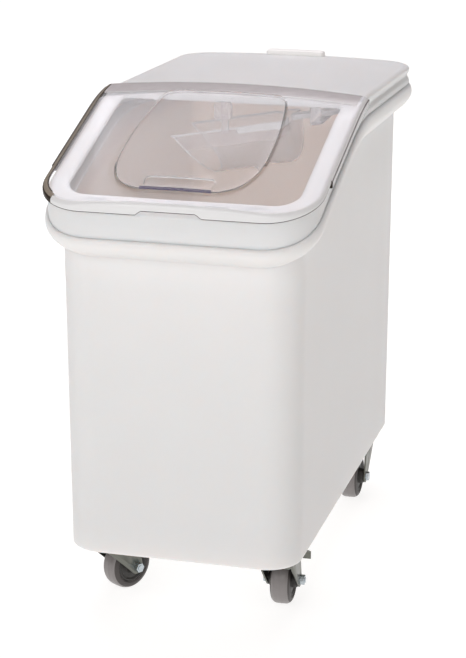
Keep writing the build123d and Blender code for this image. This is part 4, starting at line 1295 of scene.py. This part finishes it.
class BIN_OT_set_stage(Operator):
    """Set up the floor, the soft light and the camera"""
    bl_idname = "bin.set_stage"
    bl_label = "Stage"

    def execute(self, context):
        scene = context.scene
        setup = scene.bin_stage
        self.add_floor(setup)
        scene.world = bpy.data.worlds.new("Soft studio")
        scene.world.use_nodes = True
        background = scene.world.node_tree.nodes["Background"]
        background.inputs["Color"].default_value = (1.0, 0.91, 0.87, 1)
        background.inputs["Strength"].default_value = setup.sky
        self.add_light("Front light", setup.key, place=(-0.5, -3.5, 2.4), size=2.6,
                       colour=(0.92, 0.93, 0.95))
        self.add_light("Top light", setup.top, place=(-0.3, 1.3, 3.2), size=3.0, colour=(1.0, 0.96, 0.99))
        self.add_light("Fill light", setup.fill, place=(1.4, -3.2, 1.8), size=2.0, colour=(1.0, 0.97, 0.94))
        back = self.add_light("Back light", setup.back, place=(-0.6, 3.0, 2.6), size=2.4,
                              colour=(0.92, 0.92, 1.0))
        back.visible_glossy = False
        pool = self.add_light("Opening light", setup.opening, place=(-0.05, -0.75, 2.2), size=0.30,
                              colour=(1.0, 0.96, 0.95), target=(-0.06, -0.24, 0.60))
        pool.data.spread = setup.opening_spread
        pool.visible_glossy = False
        scene.camera = linked("Camera", bpy.data.cameras.new("Camera"))
        scene.camera.data.lens = setup.lens
        scene.camera.location = setup.camera_place
        view = Vector((-sin(setup.azimuth) * cos(setup.pitch), cos(setup.azimuth) * cos(setup.pitch),
                       -sin(setup.pitch)))
        scene.camera.rotation_euler = view.to_track_quat("-Z", "Y").to_euler()
        scene.view_settings.view_transform = "Standard"
        return {"FINISHED"}

    def add_floor(self, setup):
        """A wide pale floor that glows more with the distance, so it stays white up to the horizon."""
        bm = bmesh.new()
        bmesh.ops.create_grid(bm, x_segments=8, y_segments=8, size=setup.floor_half)
        floor = linked("floor", to_mesh("floor", bm, slots=0))
        finish = surface("Pale studio floor", "floor", change=0.01, mottle_mm=400, gloss=(0.7, 0.8),
                         grain_mm=6.0, bump_mm=0.01, Emission_Color=(1, 0.99, 0.98, 1))
        tree = finish.node_tree
        place = add_node(tree, "ShaderNodeTexCoord").outputs["Object"]
        away = add_node(tree, "ShaderNodeVectorMath", {0: place}, operation="LENGTH")
        glow = add_node(tree, "ShaderNodeMapRange",
                        {"Value": away.outputs["Value"], "From Min": setup.near, "From Max": setup.far,
                         "To Min": setup.glow_near, "To Max": setup.glow_far})
        shader = next(node for node in tree.nodes if node.type == "BSDF_PRINCIPLED")
        tree.links.new(glow.outputs[0], shader.inputs["Emission Strength"])
        floor.data.materials.append(finish)

    def add_light(self, name, power, place, size, colour, target=(0, 0, 0.4)):
        """A square soft light aimed at a place, by default at the middle of the bin."""
        data = bpy.data.lights.new(name, "AREA")
        data.shape = "SQUARE"
        data.size = size
        data.energy = power
        data.color = colour
        lamp = linked(name, data)
        lamp.location = place
        aim = Vector(target) - Vector(place)
        lamp.rotation_euler = aim.to_track_quat("-Z", "Y").to_euler()
        return lamp


class VIEW3D_PT_bin(Panel):
    """Lists the steps that make the bin"""
    bl_idname = "VIEW3D_PT_bin"
    bl_label = "Rolling ingredient bin"
    bl_space_type = "VIEW_3D"
    bl_region_type = "UI"
    bl_category = "Bin"

    def draw(self, context):
        for operator in operators:
            self.layout.operator(operator.bl_idname)


operators = (BIN_OT_make_bin, BIN_OT_make_cover, BIN_OT_make_stop, BIN_OT_make_lid, BIN_OT_make_wheels,
             BIN_OT_make_fasteners, BIN_OT_make_scoop, BIN_OT_make_hardware, BIN_OT_set_stage)
groups = {"bin_shell": BinShellSizes, "bin_cover": CoverSizes, "bin_lid": LidSizes, "bin_scoop": ScoopSizes,
          "bin_wheels": WheelSizes, "bin_finishes": Finishes, "bin_stage": StageSetup}


def register():
    for group in groups.values():
        bpy.utils.register_class(group)
    for name, group in groups.items():
        setattr(bpy.types.Scene, name, PointerProperty(type=group))
    for operator in operators:
        bpy.utils.register_class(operator)
    bpy.utils.register_class(VIEW3D_PT_bin)


def unregister():
    bpy.utils.unregister_class(VIEW3D_PT_bin)
    for operator in reversed(operators):
        bpy.utils.unregister_class(operator)
    for name in groups:
        delattr(bpy.types.Scene, name)
    for group in groups.values():
        bpy.utils.unregister_class(group)


def main():
    register()
    bpy.ops.bin.make_bin()
    bpy.ops.bin.make_cover()
    bpy.ops.bin.make_stop()
    bpy.ops.bin.make_lid()
    bpy.ops.bin.make_wheels()
    bpy.ops.bin.make_fasteners()
    bpy.ops.bin.make_scoop()
    bpy.ops.bin.make_hardware()
    bpy.ops.bin.set_stage()


if __name__ == "__main__":
    main()
